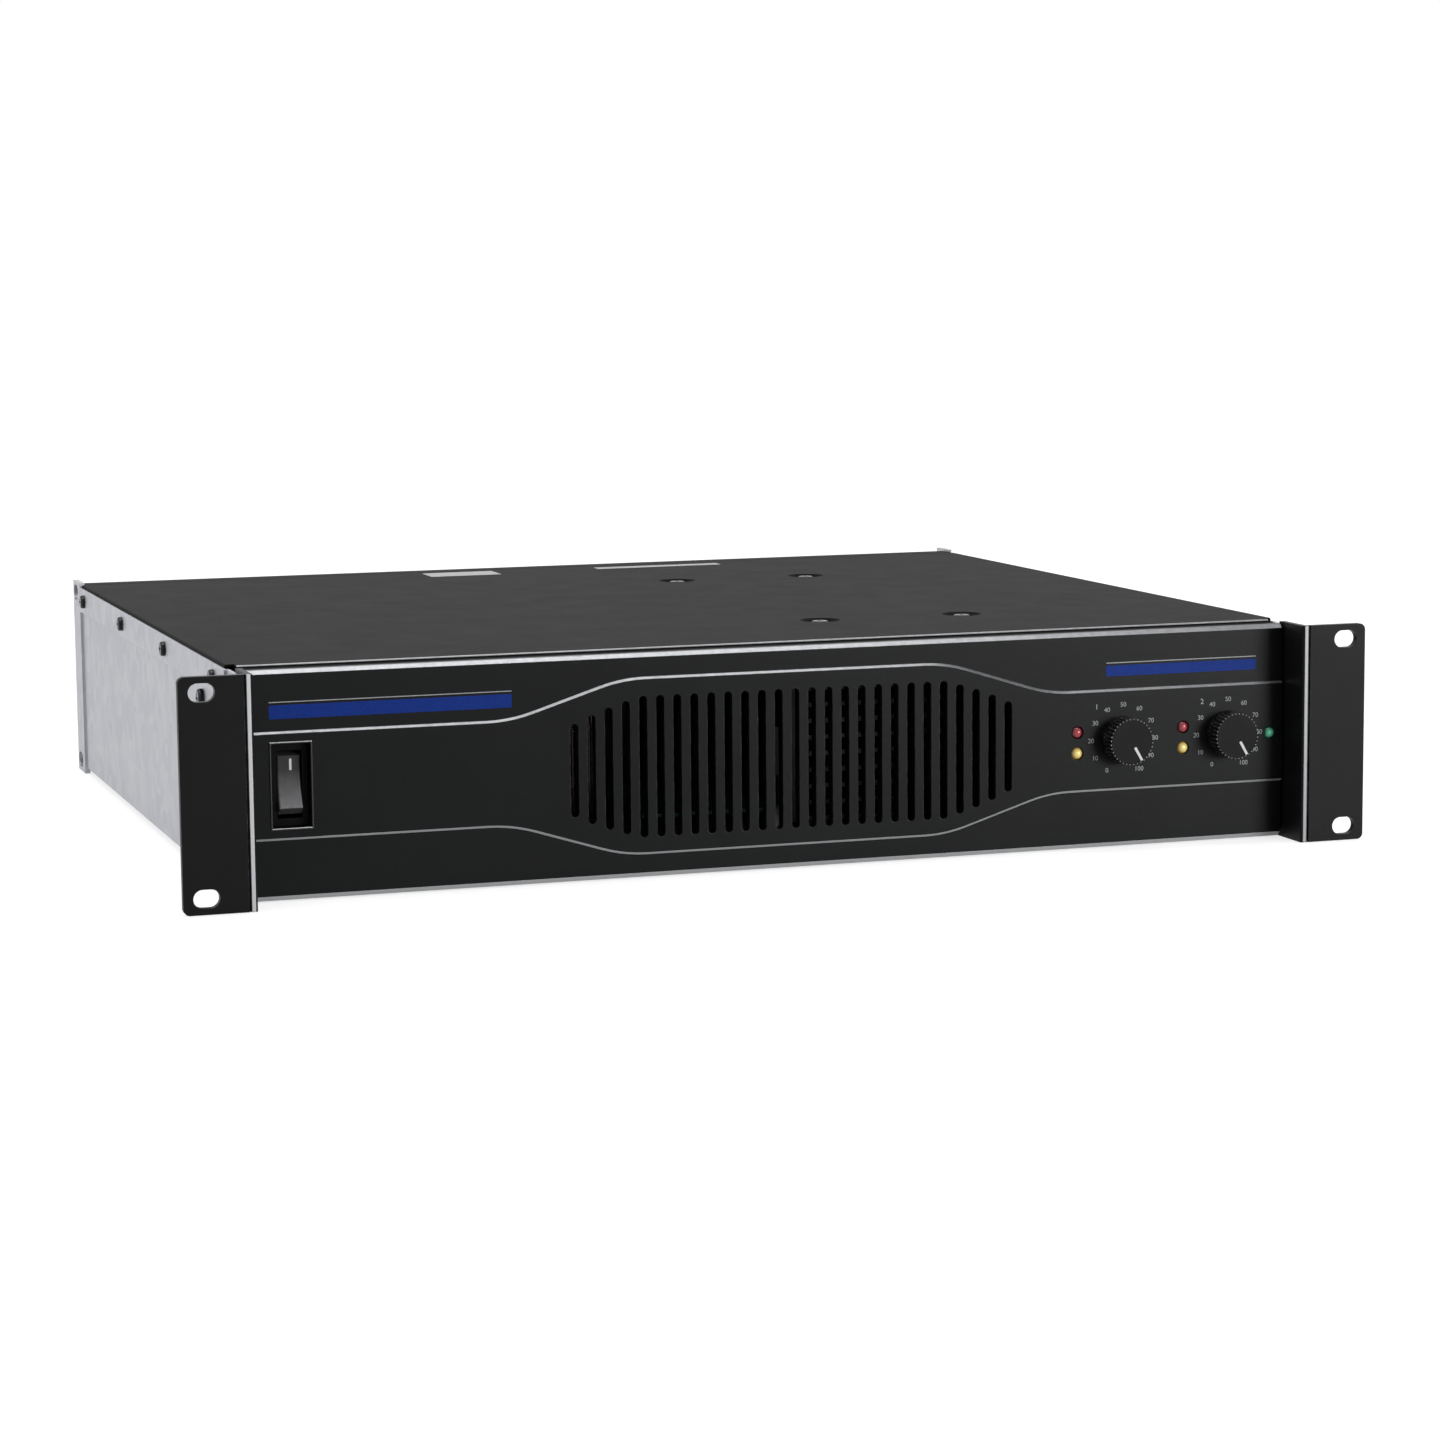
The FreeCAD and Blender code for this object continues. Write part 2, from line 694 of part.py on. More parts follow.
def led(x, z):
    straight_y = plateau_y + 1.5
    dome = Part.makeSphere(led_radius, point(x, straight_y, z))
    dome = dome.cut(box(x - 4, x + 4, straight_y, straight_y + 4, z - 4, z + 4))
    body = rod_y(x, z, straight_y, subpanel_back_y, led_radius)
    legs = [rod_y(x - 1.27, z, subpanel_back_y - 1, board_back_y, 0.3),
            rod_y(x + 1.27, z, subpanel_back_y - 1, board_back_y, 0.3)]
    return fuse([dome, body] + legs)


def leds(kind):
    return [led(x, z) for x, z in led_places()[kind]]


def control_board():
    left = knob_x[1] - led_offset - 8
    return box(left, ear_inner - 1.5, board_back_y, board_back_y + board, panel_mid_z - 28, panel_mid_z + 28)


# Transformer

pad_foot = floor_top
winding_foot = pad_foot + pad_thickness
winding_top = winding_foot + toroid_height


def toroid_transformer():
    ring = rod_z(toroid_x, toroid_y, winding_foot, winding_top, toroid_radius)
    ring = ring.cut(rod_z(toroid_x, toroid_y, winding_foot - 1, winding_top + 1, toroid_hole))
    rims = [edge for edge in ring.Edges if len(edge.Vertexes) == 1]
    return ring.makeFillet(toroid_round, rims)


def transformer_pads():
    pads = []
    for z in (pad_foot, winding_top):
        disc = rod_z(toroid_x, toroid_y, z, z + pad_thickness, toroid_radius - toroid_round)
        pads.append(disc.cut(rod_z(toroid_x, toroid_y, z - 1, z + pad_thickness + 1, bolt_radius + 1)))
    return pads


def transformer_dish():
    low = winding_top + pad_thickness
    disc = rod_z(toroid_x, toroid_y, low, low + dish_thickness, dish_radius)
    hub = Part.makeCone(20, 14, 2, point(toroid_x, toroid_y, low + dish_thickness), point(0, 0, 1))
    return fuse([disc, hub]).cut(rod_z(toroid_x, toroid_y, low - 1, low + dish_thickness + 3, bolt_radius + 0.5))


def transformer_bolt():
    nut_foot = winding_top + pad_thickness + dish_thickness + 2
    head = Part.makeCone(bolt_radius + sheet + 1, bolt_radius + 1, sheet,
                         point(toroid_x, toroid_y, floor_z), point(0, 0, 1))
    stem = rod_z(toroid_x, toroid_y, floor_top, nut_foot + 8, bolt_radius)
    nut = hexagon_y(0, 0, 0, 6.5, 13.0)
    nut = moved(turned(nut, point(1, 0, 0), 90), toroid_x, toroid_y, nut_foot)
    return [fuse([head, stem]), nut.cut(rod_z(toroid_x, toroid_y, nut_foot - 1, nut_foot + 9, bolt_radius))]


# Heatsinks, output stage and boards

def heatsink(number):
    side = -1 if number == 1 else 1
    base_in = tunnel_half_width - heatsink_base
    top_plate = 4.0

    def slab(a, b, z0, z1):
        low = min(tunnel_x + side * a, tunnel_x + side * b)
        high = max(tunnel_x + side * a, tunnel_x + side * b)
        return box(low, high, heatsink_front_y, heatsink_rear_y, z0, z1)

    pieces = [slab(base_in, tunnel_half_width, heatsink_foot, heatsink_top)]
    pieces.append(slab(fin_gap_half, base_in, heatsink_top - top_plate, heatsink_top))
    pitch = (heatsink_top - top_plate - heatsink_foot) / fin_count
    for index in range(fin_count):
        z = heatsink_foot + pitch * index
        pieces.append(slab(fin_gap_half, base_in, z, z + fin_thickness))
    shape = fuse(pieces)
    holes = [rod_z(x, y, heatsink_top - top_plate - 0.5, heatsink_top + 1, side_thread + hole_gap)
             for x, y in dimple_places()]
    return cut(shape, holes)


def heatsink_feet():
    feet = []
    for x in (tunnel_x - tunnel_half_width + 4, tunnel_x + tunnel_half_width - 18):
        for y in (heatsink_front_y + 6, heatsink_rear_y - 20):
            feet.append(box(x, x + 14, y, y + 14, floor_top, heatsink_foot))
    return feet


def transistor_places():
    step = (heatsink_rear_y - heatsink_front_y) / transistor_count
    return [heatsink_front_y + step * (index + 0.5) for index in range(transistor_count)]


def output_transistors():
    """Flat packages clamped to the outer faces of both heatsinks, legs down into the boards."""
    parts = []
    foot = board_z + board + 12
    for side in (-1, 1):
        inner = tunnel_x + side * tunnel_half_width
        outer = inner + side * transistor_thickness
        low = min(inner, outer)
        for y in transistor_places():
            case = box(low, low + transistor_thickness, y - transistor_width / 2, y + transistor_width / 2,
                       foot, foot + transistor_height)
            legs = []
            for step in (-1, 0, 1):
                legs.append(rod_z(low + transistor_thickness / 2, y + step * 5.4, board_z + board, foot + 1, 0.6))
            parts.append(fuse([case] + legs))
    return parts


def board_plate(x0, x1, y0, y1):
    return box(x0, x1, y0, y1, board_z, board_z + board)


board_limits = {
    1: (toroid_x + toroid_radius + 10, tunnel_x - tunnel_half_width),
    2: (tunnel_x + tunnel_half_width, ear_inner - 8),
}


def channel_board(number):
    x0, x1 = board_limits[number]
    return board_plate(x0, x1, heatsink_front_y, heatsink_rear_y)


power_board_front_y = toroid_y + toroid_radius + 10
power_board_rear_y = power_board_front_y + 112
power_board_x0 = -ear_inner + 6
power_board_x1 = toroid_x + toroid_radius


def power_board():
    return board_plate(power_board_x0, power_board_x1, power_board_front_y, power_board_rear_y)


def filter_capacitors():
    cans = []
    for column in range(3):
        for row in range(2):
            x = power_board_x0 + can_radius + 4 + column * (2 * can_radius + 4)
            y = power_board_front_y + can_radius + 8 + row * (2 * can_radius + 6)
            can = rod_z(x, y, board_z + board, board_z + board + can_height, can_radius)
            top = edges_at(can, lambda a, b, c: near(c, board_z + board + can_height))
            cans.append(can.makeFillet(1.2, top))
    return cans


def rectifier_bridges():
    bridges = []
    for row in range(2):
        y = power_board_front_y + 12 + row * 44
        block = box(power_board_x1 - 31, power_board_x1 - 3, y, y + 28, board_z + board, board_z + board + 11)
        hole = rod_z(power_board_x1 - 17, y + 14, board_z, board_z + board + 12, 2.2)
        bridges.append(block.cut(hole))
    return bridges


def output_relays():
    relays = []
    for number in (1, 2):
        x0, x1 = board_limits[number]
        middle = (x0 + x1) / 2
        for y in (heatsink_rear_y - 30, heatsink_rear_y - 60):
            relays.append(box(middle - 15, middle + 15, y, y + 16, board_z + board, board_z + board + 25))
    return relays


def board_standoffs():
    posts = []
    frames = [board_limits[1] + (heatsink_front_y, heatsink_rear_y),
              board_limits[2] + (heatsink_front_y, heatsink_rear_y),
              (power_board_x0, power_board_x1, power_board_front_y, power_board_rear_y)]
    for x0, x1, y0, y1 in frames:
        for x in (x0 + 5, x1 - 5):
            for y in (y0 + 5, y1 - 5):
                posts.append(rod_z(x, y, floor_top, board_z, 3.0))
    return posts


def input_board():
    return box(input_x - 14, wall_inner - 3, input_board_y, input_board_y + board, floor_top + 6, cover_under - 6)


def wiring_loom():
    """Flat cable from the control board to the input board, and the two mains leads to the switch."""
    ribbon_x = ear_inner - 5
    ribbon = box(ribbon_x, ribbon_x + 0.9, board_back_y + board, input_board_y, panel_mid_z - 22, panel_mid_z - 2)
    leads = []
    wall_x = -ear_inner + 3.5
    inlet_end_y = rear_face_y - 22
    blade_y = panel_back_y + switch_body_depth + 8
    for step in (0, 1):
        x = inlet_x - 5 + 10 * step
        run_z = panel_mid_z + 2 + 7 * step
        blade_x = switch_x - 3.2 + 6.4 * step
        route = [point(x, inlet_end_y, inlet_z), point(x, inlet_end_y - 18, inlet_z),
                 point(wall_x, inlet_end_y - 50, run_z), point(wall_x, blade_y + 34, run_z),
                 point(blade_x, blade_y + 12, panel_mid_z + 7), point(blade_x, blade_y, panel_mid_z + 7)]
        leads.append(tube(route, 1.5, 6.0))
    return [ribbon] + leads


def tube(route, radius, bend):
    """Round lead along straight runs joined by tangent arcs."""
    edges = []
    start = route[0]
    for index in range(1, len(route) - 1):
        corner = route[index]
        back = (route[index - 1] - corner).normalize()
        ahead = (route[index + 1] - corner).normalize()
        half_turn = (math.pi - back.getAngle(ahead)) / 2
        trim = bend * math.tan(half_turn)
        enter = corner + back * trim
        leave = corner + ahead * trim
        bisector = (back + ahead).normalize()
        middle = corner + bisector * (bend / math.cos(half_turn) - bend)
        edges.append(Part.makeLine(start, enter))
        edges.append(Part.Arc(enter, middle, leave).toShape())
        start = leave
    edges.append(Part.makeLine(start, route[-1]))
    path = Part.Wire(edges)
    circle = Part.Wire(Part.makeCircle(radius, route[0], route[1] - route[0]))
    return path.makePipeShell([circle], True, False)


# Fan

fan_z = rear_mid_z


def fan_frame():
    half = fan_size / 2
    frame = box(tunnel_x - half, tunnel_x + half, fan_front_y, rear_inner_y, fan_z - half, fan_z + half)
    corners = [edge for edge in frame.Edges if near(edge.Length, fan_thickness)]
    frame = frame.makeFillet(4.0, corners)
    frame = frame.cut(rod_y(tunnel_x, fan_z, fan_front_y - 1, rear_inner_y + 1, fan_opening))
    spokes = [box(-fan_opening - 0.5, fan_opening + 0.5, 0, 2.5, -2, 2),
              box(-2, 2, 0, 2.5, -fan_opening - 0.5, fan_opening + 0.5)]
    spokes = [moved(turned(spoke, point(0, 1, 0), 45), tunnel_x, fan_front_y, fan_z) for spoke in spokes]
    motor = rod_y(tunnel_x, fan_z, fan_front_y, fan_front_y + 2.5, fan_hub_radius)
    boss = rod_y(tunnel_x, fan_z, fan_front_y, fan_front_y + 14, 4.5)
    stator = rod_y(tunnel_x, fan_z, fan_front_y, fan_front_y + 12, fan_hub_radius - 4)
    shape = fuse([frame, motor, boss, stator] + spokes)
    tools = [rod_y(tunnel_x, fan_z, fan_front_y + 1, fan_front_y + 15, fan_axle_radius + running_gap)]
    for x, z in fan_screw_places():
        tools.append(rod_y(x, z, fan_front_y - 1, rear_inner_y + 1, 2.2))
    return cut(shape, tools)


def fan_screw_places():
    half = fan_screw_pitch / 2
    return [(tunnel_x + sx * half, fan_z + sz * half) for sx in (-1, 1) for sz in (-1, 1)]


def fan_rotor():
    cup_front = fan_front_y + 4
    cup_rear = rear_inner_y - 3
    cup = rod_y(tunnel_x, fan_z, cup_front, cup_rear, fan_hub_radius)
    cup = cup.cut(rod_y(tunnel_x, fan_z, cup_front - 1, cup_rear - 3, fan_hub_radius - 2))
    axle = rod_y(tunnel_x, fan_z, fan_front_y + 1.5, cup_rear - 1, fan_axle_radius)
    tip = rod_y(tunnel_x, fan_z, cup_front, cup_rear, fan_opening - 1.2)
    middle_y = (cup_front + cup_rear) / 2
    blades = []
    for index in range(fan_blades):
        blade = Part.makeBox(fan_opening - fan_hub_radius + 4, 20, 1.6, point(fan_hub_radius - 1.5, -10, -0.8))
        blade = turned(blade, point(1, 0, 0), 52)
        blade = turned(blade, point(0, 1, 0), 360 * index / fan_blades)
        blades.append(moved(blade, tunnel_x, middle_y, fan_z).common(tip))
    return fuse([cup, axle] + blades)


def fan_guard():
    wire = 1.0
    bar_y = rear_face_y + wire
    ring_y = bar_y + 1.5
    pieces = []
    for radius in (9.0, 18.0, 27.0, 36.0):
        ring = Part.makeTorus(radius, wire, point(tunnel_x, ring_y, fan_z), point(0, 1, 0))
        pieces.append(ring)
    reach = fan_screw_pitch / math.sqrt(2)
    for degrees in (45, 135):
        bar = Part.makeCylinder(wire, 2 * reach, point(-reach, 0, 0), point(1, 0, 0))
        pieces.append(moved(turned(bar, point(0, 1, 0), degrees), tunnel_x, bar_y, fan_z))
    for x, z in fan_screw_places():
        pieces.append(rod_y(x, z, rear_face_y, rear_face_y + 2 * wire, 4.6))
    guard = fuse(pieces)
    return cut(guard, [rod_y(x, z, rear_face_y - 1, rear_face_y + 4, 2.2) for x, z in fan_screw_places()])


def fan_duct():
    """Square tube that leads the fan's air into the heatsinks."""
    half = fan_size / 2
    outer = box(tunnel_x - half, tunnel_x + half, heatsink_rear_y, fan_front_y, fan_z - half + 3, fan_z + half - 1)
    inner = box(tunnel_x - half + duct_wall, tunnel_x + half - duct_wall, heatsink_rear_y - 1, fan_front_y + 1,
                fan_z - half + 3 + duct_wall, fan_z + half - 1 - duct_wall)
    return outer.cut(inner)


# Rear panel and its connectors

def d_flange_screw_places():
    """Two screws on a diagonal of each speaker and microphone socket flange."""
    places = []
    for x in (speaker_x, input_x):
        for z in rows.values():
            places.append((x - 9.5, z + 12.0))
            places.append((x + 9.5, z - 12.0))
    return places


def inlet_screw_places():
    return [(inlet_x - 20, inlet_z), (inlet_x + 20, inlet_z)]


def rear_panel():
    web = box(-wall_inner, wall_inner, rear_inner_y, rear_face_y, floor_top, cover_under)
    flange = box(-wall_inner + 2, wall_inner - 2, rear_inner_y - panel_flange, rear_face_y,
                 cover_under - sheet, cover_under)
    y0 = rear_inner_y - 1
    y1 = rear_face_y + 1
    tools = [rod_y(tunnel_x, fan_z, y0, y1, fan_opening - 0.5)]
    tools.append(box(inlet_x - 14, inlet_x + 14, y0, y1, inlet_z - 10.3, inlet_z + 10.3))
    tools.append(rod_y(inlet_x, breaker_z, y0, y1, 5.6))
    slot_half = mode_travel / 2 + 2.7
    tools.append(box(mode_x - 2.5, mode_x + 2.5, y0, y1, rear_mid_z - slot_half, rear_mid_z + slot_half))
    for z in rows.values():
        tools.append(rod_y(speaker_x, z, y0, y1, socket_radius + hole_gap))
        tools.append(rod_y(input_x, z, y0, y1, socket_radius + hole_gap))
        tools.append(rod_y(jack_x, z, y0, y1, jack_bushing + hole_gap))
        for x in post_x.values():
            tools.append(rod_y(x, z, y0, y1, 4.6 + hole_gap))
    for x, z in d_flange_screw_places() + inlet_screw_places():
        tools.append(rod_y(x, z, y0, y1, 1.6))
    for x, z in fan_screw_places():
        tools.append(rod_y(x, z, y0, y1, 2.2))
    for z in rows.values():
        tools.append(box(input_x - 4.2, input_x + 4.2, y0, y1, z, z + 14.2))
    fan_clear = fan_size / 2 + sheet_gap
    fan_relief = box(tunnel_x - fan_clear, tunnel_x + fan_clear, rear_inner_y - panel_flange - 1, rear_inner_y,
                     cover_under - 2 * sheet, fan_z + fan_clear)
    relieved = flange.cut(fan_relief) if fan_z + fan_clear > cover_under - sheet else flange
    return cut(fuse([web, relieved]), tools)


def rear_panel_screws():
    screws = []
    for x, z in d_flange_screw_places() + inlet_screw_places():
        screws.append(screw_y(x, z, rear_face_y + flange_thickness, 2.6, 1.8, 1.5, flange_thickness + sheet + 3))
    for x, z in fan_screw_places():
        screws.append(screw_y(x, z, rear_face_y + 2.0, 3.6, 2.4, 2.1, 2.0 + sheet + 8))
    return screws


def mains_inlet():
    """Three-pin appliance inlet: flanged body with a keyed cavity, and its three blades."""
    outer_y = rear_face_y + flange_thickness
    flange = box(inlet_x - 25, inlet_x + 25, rear_face_y, outer_y, inlet_z - 11.5, inlet_z + 11.5)
    corners = [edge for edge in flange.Edges if near(edge.Length, flange_thickness)]
    flange = flange.makeFillet(5.0, corners)
    body = box(inlet_x - 13.7, inlet_x + 13.7, rear_face_y - 22, rear_face_y, inlet_z - 10, inlet_z + 10)
    cavity_y = outer_y - 16
    key = 4.0
    outline = [(-12.2, -8.3), (12.2, -8.3), (12.2, 8.3 - key), (12.2 - key, 8.3), (-12.2 + key, 8.3),
               (-12.2, 8.3 - key), (-12.2, -8.3)]
    corners = [point(inlet_x + x, cavity_y, inlet_z + z) for x, z in outline]
    cavity = Part.Face(Part.makePolygon(corners)).extrude(point(0, 17, 0))
    tools = [cavity] + [rod_y(x, z, rear_face_y - 1, outer_y + 1, 1.6) for x, z in inlet_screw_places()]
    shell = cut(fuse([flange, body]), tools)
    blades = []
    for x, z in ((-7, -1), (7, -1), (0, 3)):
        blades.append(box(inlet_x + x - 1, inlet_x + x + 1, cavity_y, outer_y - 1.5,
                          inlet_z + z - 2, inlet_z + z + 2))
    return [shell] + blades


def breaker_body():
    case = box(inlet_x - 7, inlet_x + 7, rear_inner_y - 28, rear_inner_y, breaker_z - 16, breaker_z + 16)
    bushing = rod_y(inlet_x, breaker_z, rear_inner_y - 1, rear_face_y + 7, 5.5)
    bore = rod_y(inlet_x, breaker_z, rear_face_y - 9, rear_face_y + 8, 3.2 + 0.1)
    shell = fuse([case, bushing]).cut(bore)
    nut = hexagon_y(inlet_x, breaker_z, rear_face_y, rear_face_y + 3, 14.0)
    return [shell, nut.cut(rod_y(inlet_x, breaker_z, rear_face_y - 1, rear_face_y + 4, 5.5))]


def breaker_button():
    button = rod_y(inlet_x, breaker_z, rear_face_y - 8.7, rear_face_y + 9.5, 3.2)
    return button.makeFillet(0.7, edges_at(button, lambda a, b, c: near(b, rear_face_y + 9.5)))


def d_flange(x, z):
    """Rectangular socket flange with rounded corners, its barrel and its two screw holes."""
    plate = box(x - flange_width / 2, x + flange_width / 2, rear_face_y, rear_face_y + flange_thickness,
                z - flange_height / 2, z + flange_height / 2)
    corners = [edge for edge in plate.Edges if near(edge.Length, flange_thickness)]
    plate = plate.makeFillet(2.5, corners)
    barrel = rod_y(x, z, rear_face_y + flange_thickness - socket_depth, rear_face_y + 1, socket_radius)
    holes = [rod_y(x - 9.5, z + 12, rear_face_y - 1, rear_face_y + 4, 1.6),
             rod_y(x + 9.5, z - 12, rear_face_y - 1, rear_face_y + 4, 1.6)]
    return cut(fuse([plate, barrel]), holes)


def speaker_sockets():
    """Round twist-lock speaker sockets: a deep ring groove round a centre post, with two key ways."""
    sockets = []
    outer_y = rear_face_y + flange_thickness
    for z in rows.values():
        groove = rod_y(speaker_x, z, outer_y - 15, outer_y + 1, 11.0).cut(
            rod_y(speaker_x, z, outer_y - 16, outer_y - 1, 5.4))
        keys = [box(speaker_x - 11.7, speaker_x + 11.7, outer_y - 9, outer_y + 1, z - 2, z + 2).cut(
            rod_y(speaker_x, z, outer_y - 16, outer_y + 2, 10.5))]
        sockets.append(cut(d_flange(speaker_x, z), [groove] + keys))
    return sockets


def xlr_sockets():
    """Three-pole microphone-type input sockets, each with a slot for its release tab."""
    sockets = []
    outer_y = rear_face_y + flange_thickness
    for z in rows.values():
        groove = rod_y(input_x, z, outer_y - 13, outer_y + 1, 9.6).cut(
            rod_y(input_x, z, outer_y - 14, outer_y - 1.5, 7.6))
        tools = [groove]
        for degrees in (90, 210, 330):
            angle = math.radians(degrees)
            tools.append(rod_y(input_x + 4.3 * math.cos(angle), z - 4.3 * math.sin(angle),
                               outer_y - 12, outer_y, 1.3))
        tools.append(box(input_x - 3.5, input_x + 3.5, outer_y - 14, outer_y + 1, z + 10.3, z + 13.9))
        sockets.append(cut(d_flange(input_x, z), tools))
    return sockets


def xlr_latch(number):
    """Release tab above a socket's mouth; it is pushed in to let the plug go."""
    outer_y = rear_face_y + flange_thickness
    z = rows[number]
    tab = box(input_x - 3.2, input_x + 3.2, outer_y - 11, outer_y + 1.8, z + 10.6, z + 13.6)
    return tab.makeFillet(0.5, edges_at(tab, lambda a, b, c: near(b, outer_y + 1.8)))


def binding_posts():
    """For each post: an insulating base on the panel, and a metal stud with a wire hole and a plug bore."""
    parts = []
    for x in post_x.values():
        for z in rows.values():
            base = fuse([rod_y(x, z, rear_face_y, rear_face_y + post_base, post_base_radius),
                         rod_y(x, z, rear_inner_y, rear_face_y, 4.6),
                         rod_y(x, z, rear_inner_y - 3, rear_inner_y, post_base_radius)])
            base = base.cut(rod_y(x, z, rear_inner_y - 4, rear_face_y + 4, post_stud_radius + running_gap))
            stud_end = rear_face_y + post_base + post_cap_gap + post_cap_length - 1.2
            stud = rod_y(x, z, rear_inner_y - 12, stud_end, post_stud_radius)
            plug_bore = rod_y(x, z, stud_end - 7.5, stud_end + 1, 2.0)
            wire_hole = rod_x(x - 4, x + 4, rear_face_y + post_base + 1.4, z, 1.1)
            parts.append(base)
            parts.append(cut(stud, [plug_bore, wire_hole]))
    return parts


def post_cap(column, row):
    x = post_x[column]
    z = rows[row]
    foot_y = rear_face_y + post_base + post_cap_gap
    end_y = foot_y + post_cap_length
    cap = rod_y(x, z, foot_y, end_y, post_cap_radius)
    cap = cap.makeFillet(0.6, edges_at(cap, lambda a, b, c: near(b, end_y)))
    tools = [rod_y(x, z, foot_y - 1, end_y - 0.8, post_stud_radius + running_gap),
             rod_y(x, z, foot_y, end_y + 1, 2.1)]
    for index in range(12):
        angle = math.pi * index / 6
        tools.append(rod_y(x + (post_cap_radius + 0.35) * math.cos(angle),
                           z + (post_cap_radius + 0.35) * math.sin(angle), foot_y + 1.8, end_y + 1, 0.9))
    return cut(cap, tools)


def jack_sockets():
    parts = []
    for z in rows.values():
        body = box(jack_x - 7.5, jack_x + 7.5, input_board_y + board, rear_inner_y, z - 7.5, z + 7.5)
        bushing = rod_y(jack_x, z, rear_inner_y - 1, rear_face_y + 5, jack_bushing)
        bore = rod_y(jack_x, z, input_board_y + board + 3, rear_face_y + 6, jack_bore)
        nut = hexagon_y(jack_x, z, rear_face_y, rear_face_y + 2.5, 12.5)
        parts.append(fuse([body, bushing]).cut(bore))
        parts.append(nut.cut(rod_y(jack_x, z, rear_face_y - 1, rear_face_y + 4, jack_bushing)))
    return parts


def mode_switch_body():
    half = mode_travel / 2 + 2.5 + 0.3
    case = box(mode_x - 5, mode_x + 5, rear_inner_y - 8, rear_inner_y, rear_mid_z - half - 4, rear_mid_z + half + 4)
    hollow = box(mode_x - 2.5, mode_x + 2.5, rear_inner_y - 5.5, rear_inner_y + 1, rear_mid_z - half, rear_mid_z + half)
    legs = [rod_y(mode_x, rear_mid_z + step, input_board_y + board, rear_inner_y - 7, 0.5) for step in (-6, 0, 6)]
    return fuse([case] + legs).cut(hollow)


def mode_lever():
    z = rear_mid_z + mode_travel / 2
    lever = box(mode_x - 2.2, mode_x + 2.2, rear_inner_y - 5.2, rear_face_y + 2.6, z - 2.4, z + 2.4)
    return lever.makeFillet(0.4, edges_at(lever, lambda a, b, c: near(b, rear_face_y + 2.6)))


# Output: one STEP file for each sub-part

def save(name, shapes):
    if not isinstance(shapes, list):
        shapes = [shapes]
    solids = [solid for shape in shapes for solid in shape.Solids]
    for solid in solids:
        if not solid.isValid() or not solid.isClosed():
            print("check the solid in", name)
    result = solids[0] if len(solids) == 1 else Part.makeCompound(solids)
    result.exportStep("parts/" + name + ".step")
    print(name, len(solids), "solid(s), volume", round(sum(solid.Volume for solid in solids) / 1000, 2), "cm3")


os.makedirs("parts", exist_ok=True)

save("chassis_tray", chassis_tray())
save("front_subpanel", front_subpanel())
save("front_panel", front_panel())
save("top_cover", top_cover())
save("left_rack_ear", rack_ear(-1))
save("right_rack_ear", rack_ear(1))
save("rear_panel", rear_panel())
save("cover_side_screws", cover_side_screws())
save("cover_top_screws", cover_top_screws())
save("ear_screws", ear_screws())
save("rear_panel_screws", rear_panel_screws())
save("power_switch_body", power_switch_body())
save("power_rocker", power_rocker())
for channel in (1, 2):
    save("gain_knob_%d" % channel, gain_knob(channel))
    save("pot_shaft_%d" % channel, pot_shaft(channel))
    save("gain_pot_%d" % channel, gain_pot(channel))
    save("heatsink_%d" % channel, heatsink(channel))
    save("channel_board_%d" % channel, channel_board(channel))
    save("xlr_latch_%d" % channel, xlr_latch(channel))
    save("positive_post_cap_%d" % channel, post_cap(1, channel))
    save("negative_post_cap_%d" % channel, post_cap(2, channel))
save("pot_nuts", [pot_nut(1), pot_nut(2)])
save("control_board", control_board())
save("clip_leds", leds("clip"))
save("signal_leds", leds("signal"))
save("power_led", leds("power"))
save("toroid_transformer", toroid_transformer())
save("transformer_pads", transformer_pads())
save("transformer_dish", transformer_dish())
save("transformer_bolt", transformer_bolt())
save("heatsink_feet", heatsink_feet())
save("output_transistors", output_transistors())
save("power_board", power_board())
save("filter_capacitors", filter_capacitors())
save("rectifier_bridges", rectifier_bridges())
save("output_relays", output_relays())
save("board_standoffs", board_standoffs())
save("input_board", input_board())
save("wiring_loom", wiring_loom())
save("fan_frame", fan_frame())
save("fan_rotor", fan_rotor())
save("fan_guard", fan_guard())
save("fan_duct", fan_duct())
save("mains_inlet", mains_inlet())
save("breaker_body", breaker_body())
save("breaker_button", breaker_button())
save("speaker_sockets", speaker_sockets())
save("xlr_sockets", xlr_sockets())
save("binding_posts", binding_posts())
save("jack_sockets", jack_sockets())
save("mode_switch_body", mode_switch_body())
save("mode_lever", mode_lever())
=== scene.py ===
import bmesh
import bpy
import json
import math
from mathutils import Matrix, Vector
from mathutils.bvhtree import BVHTree


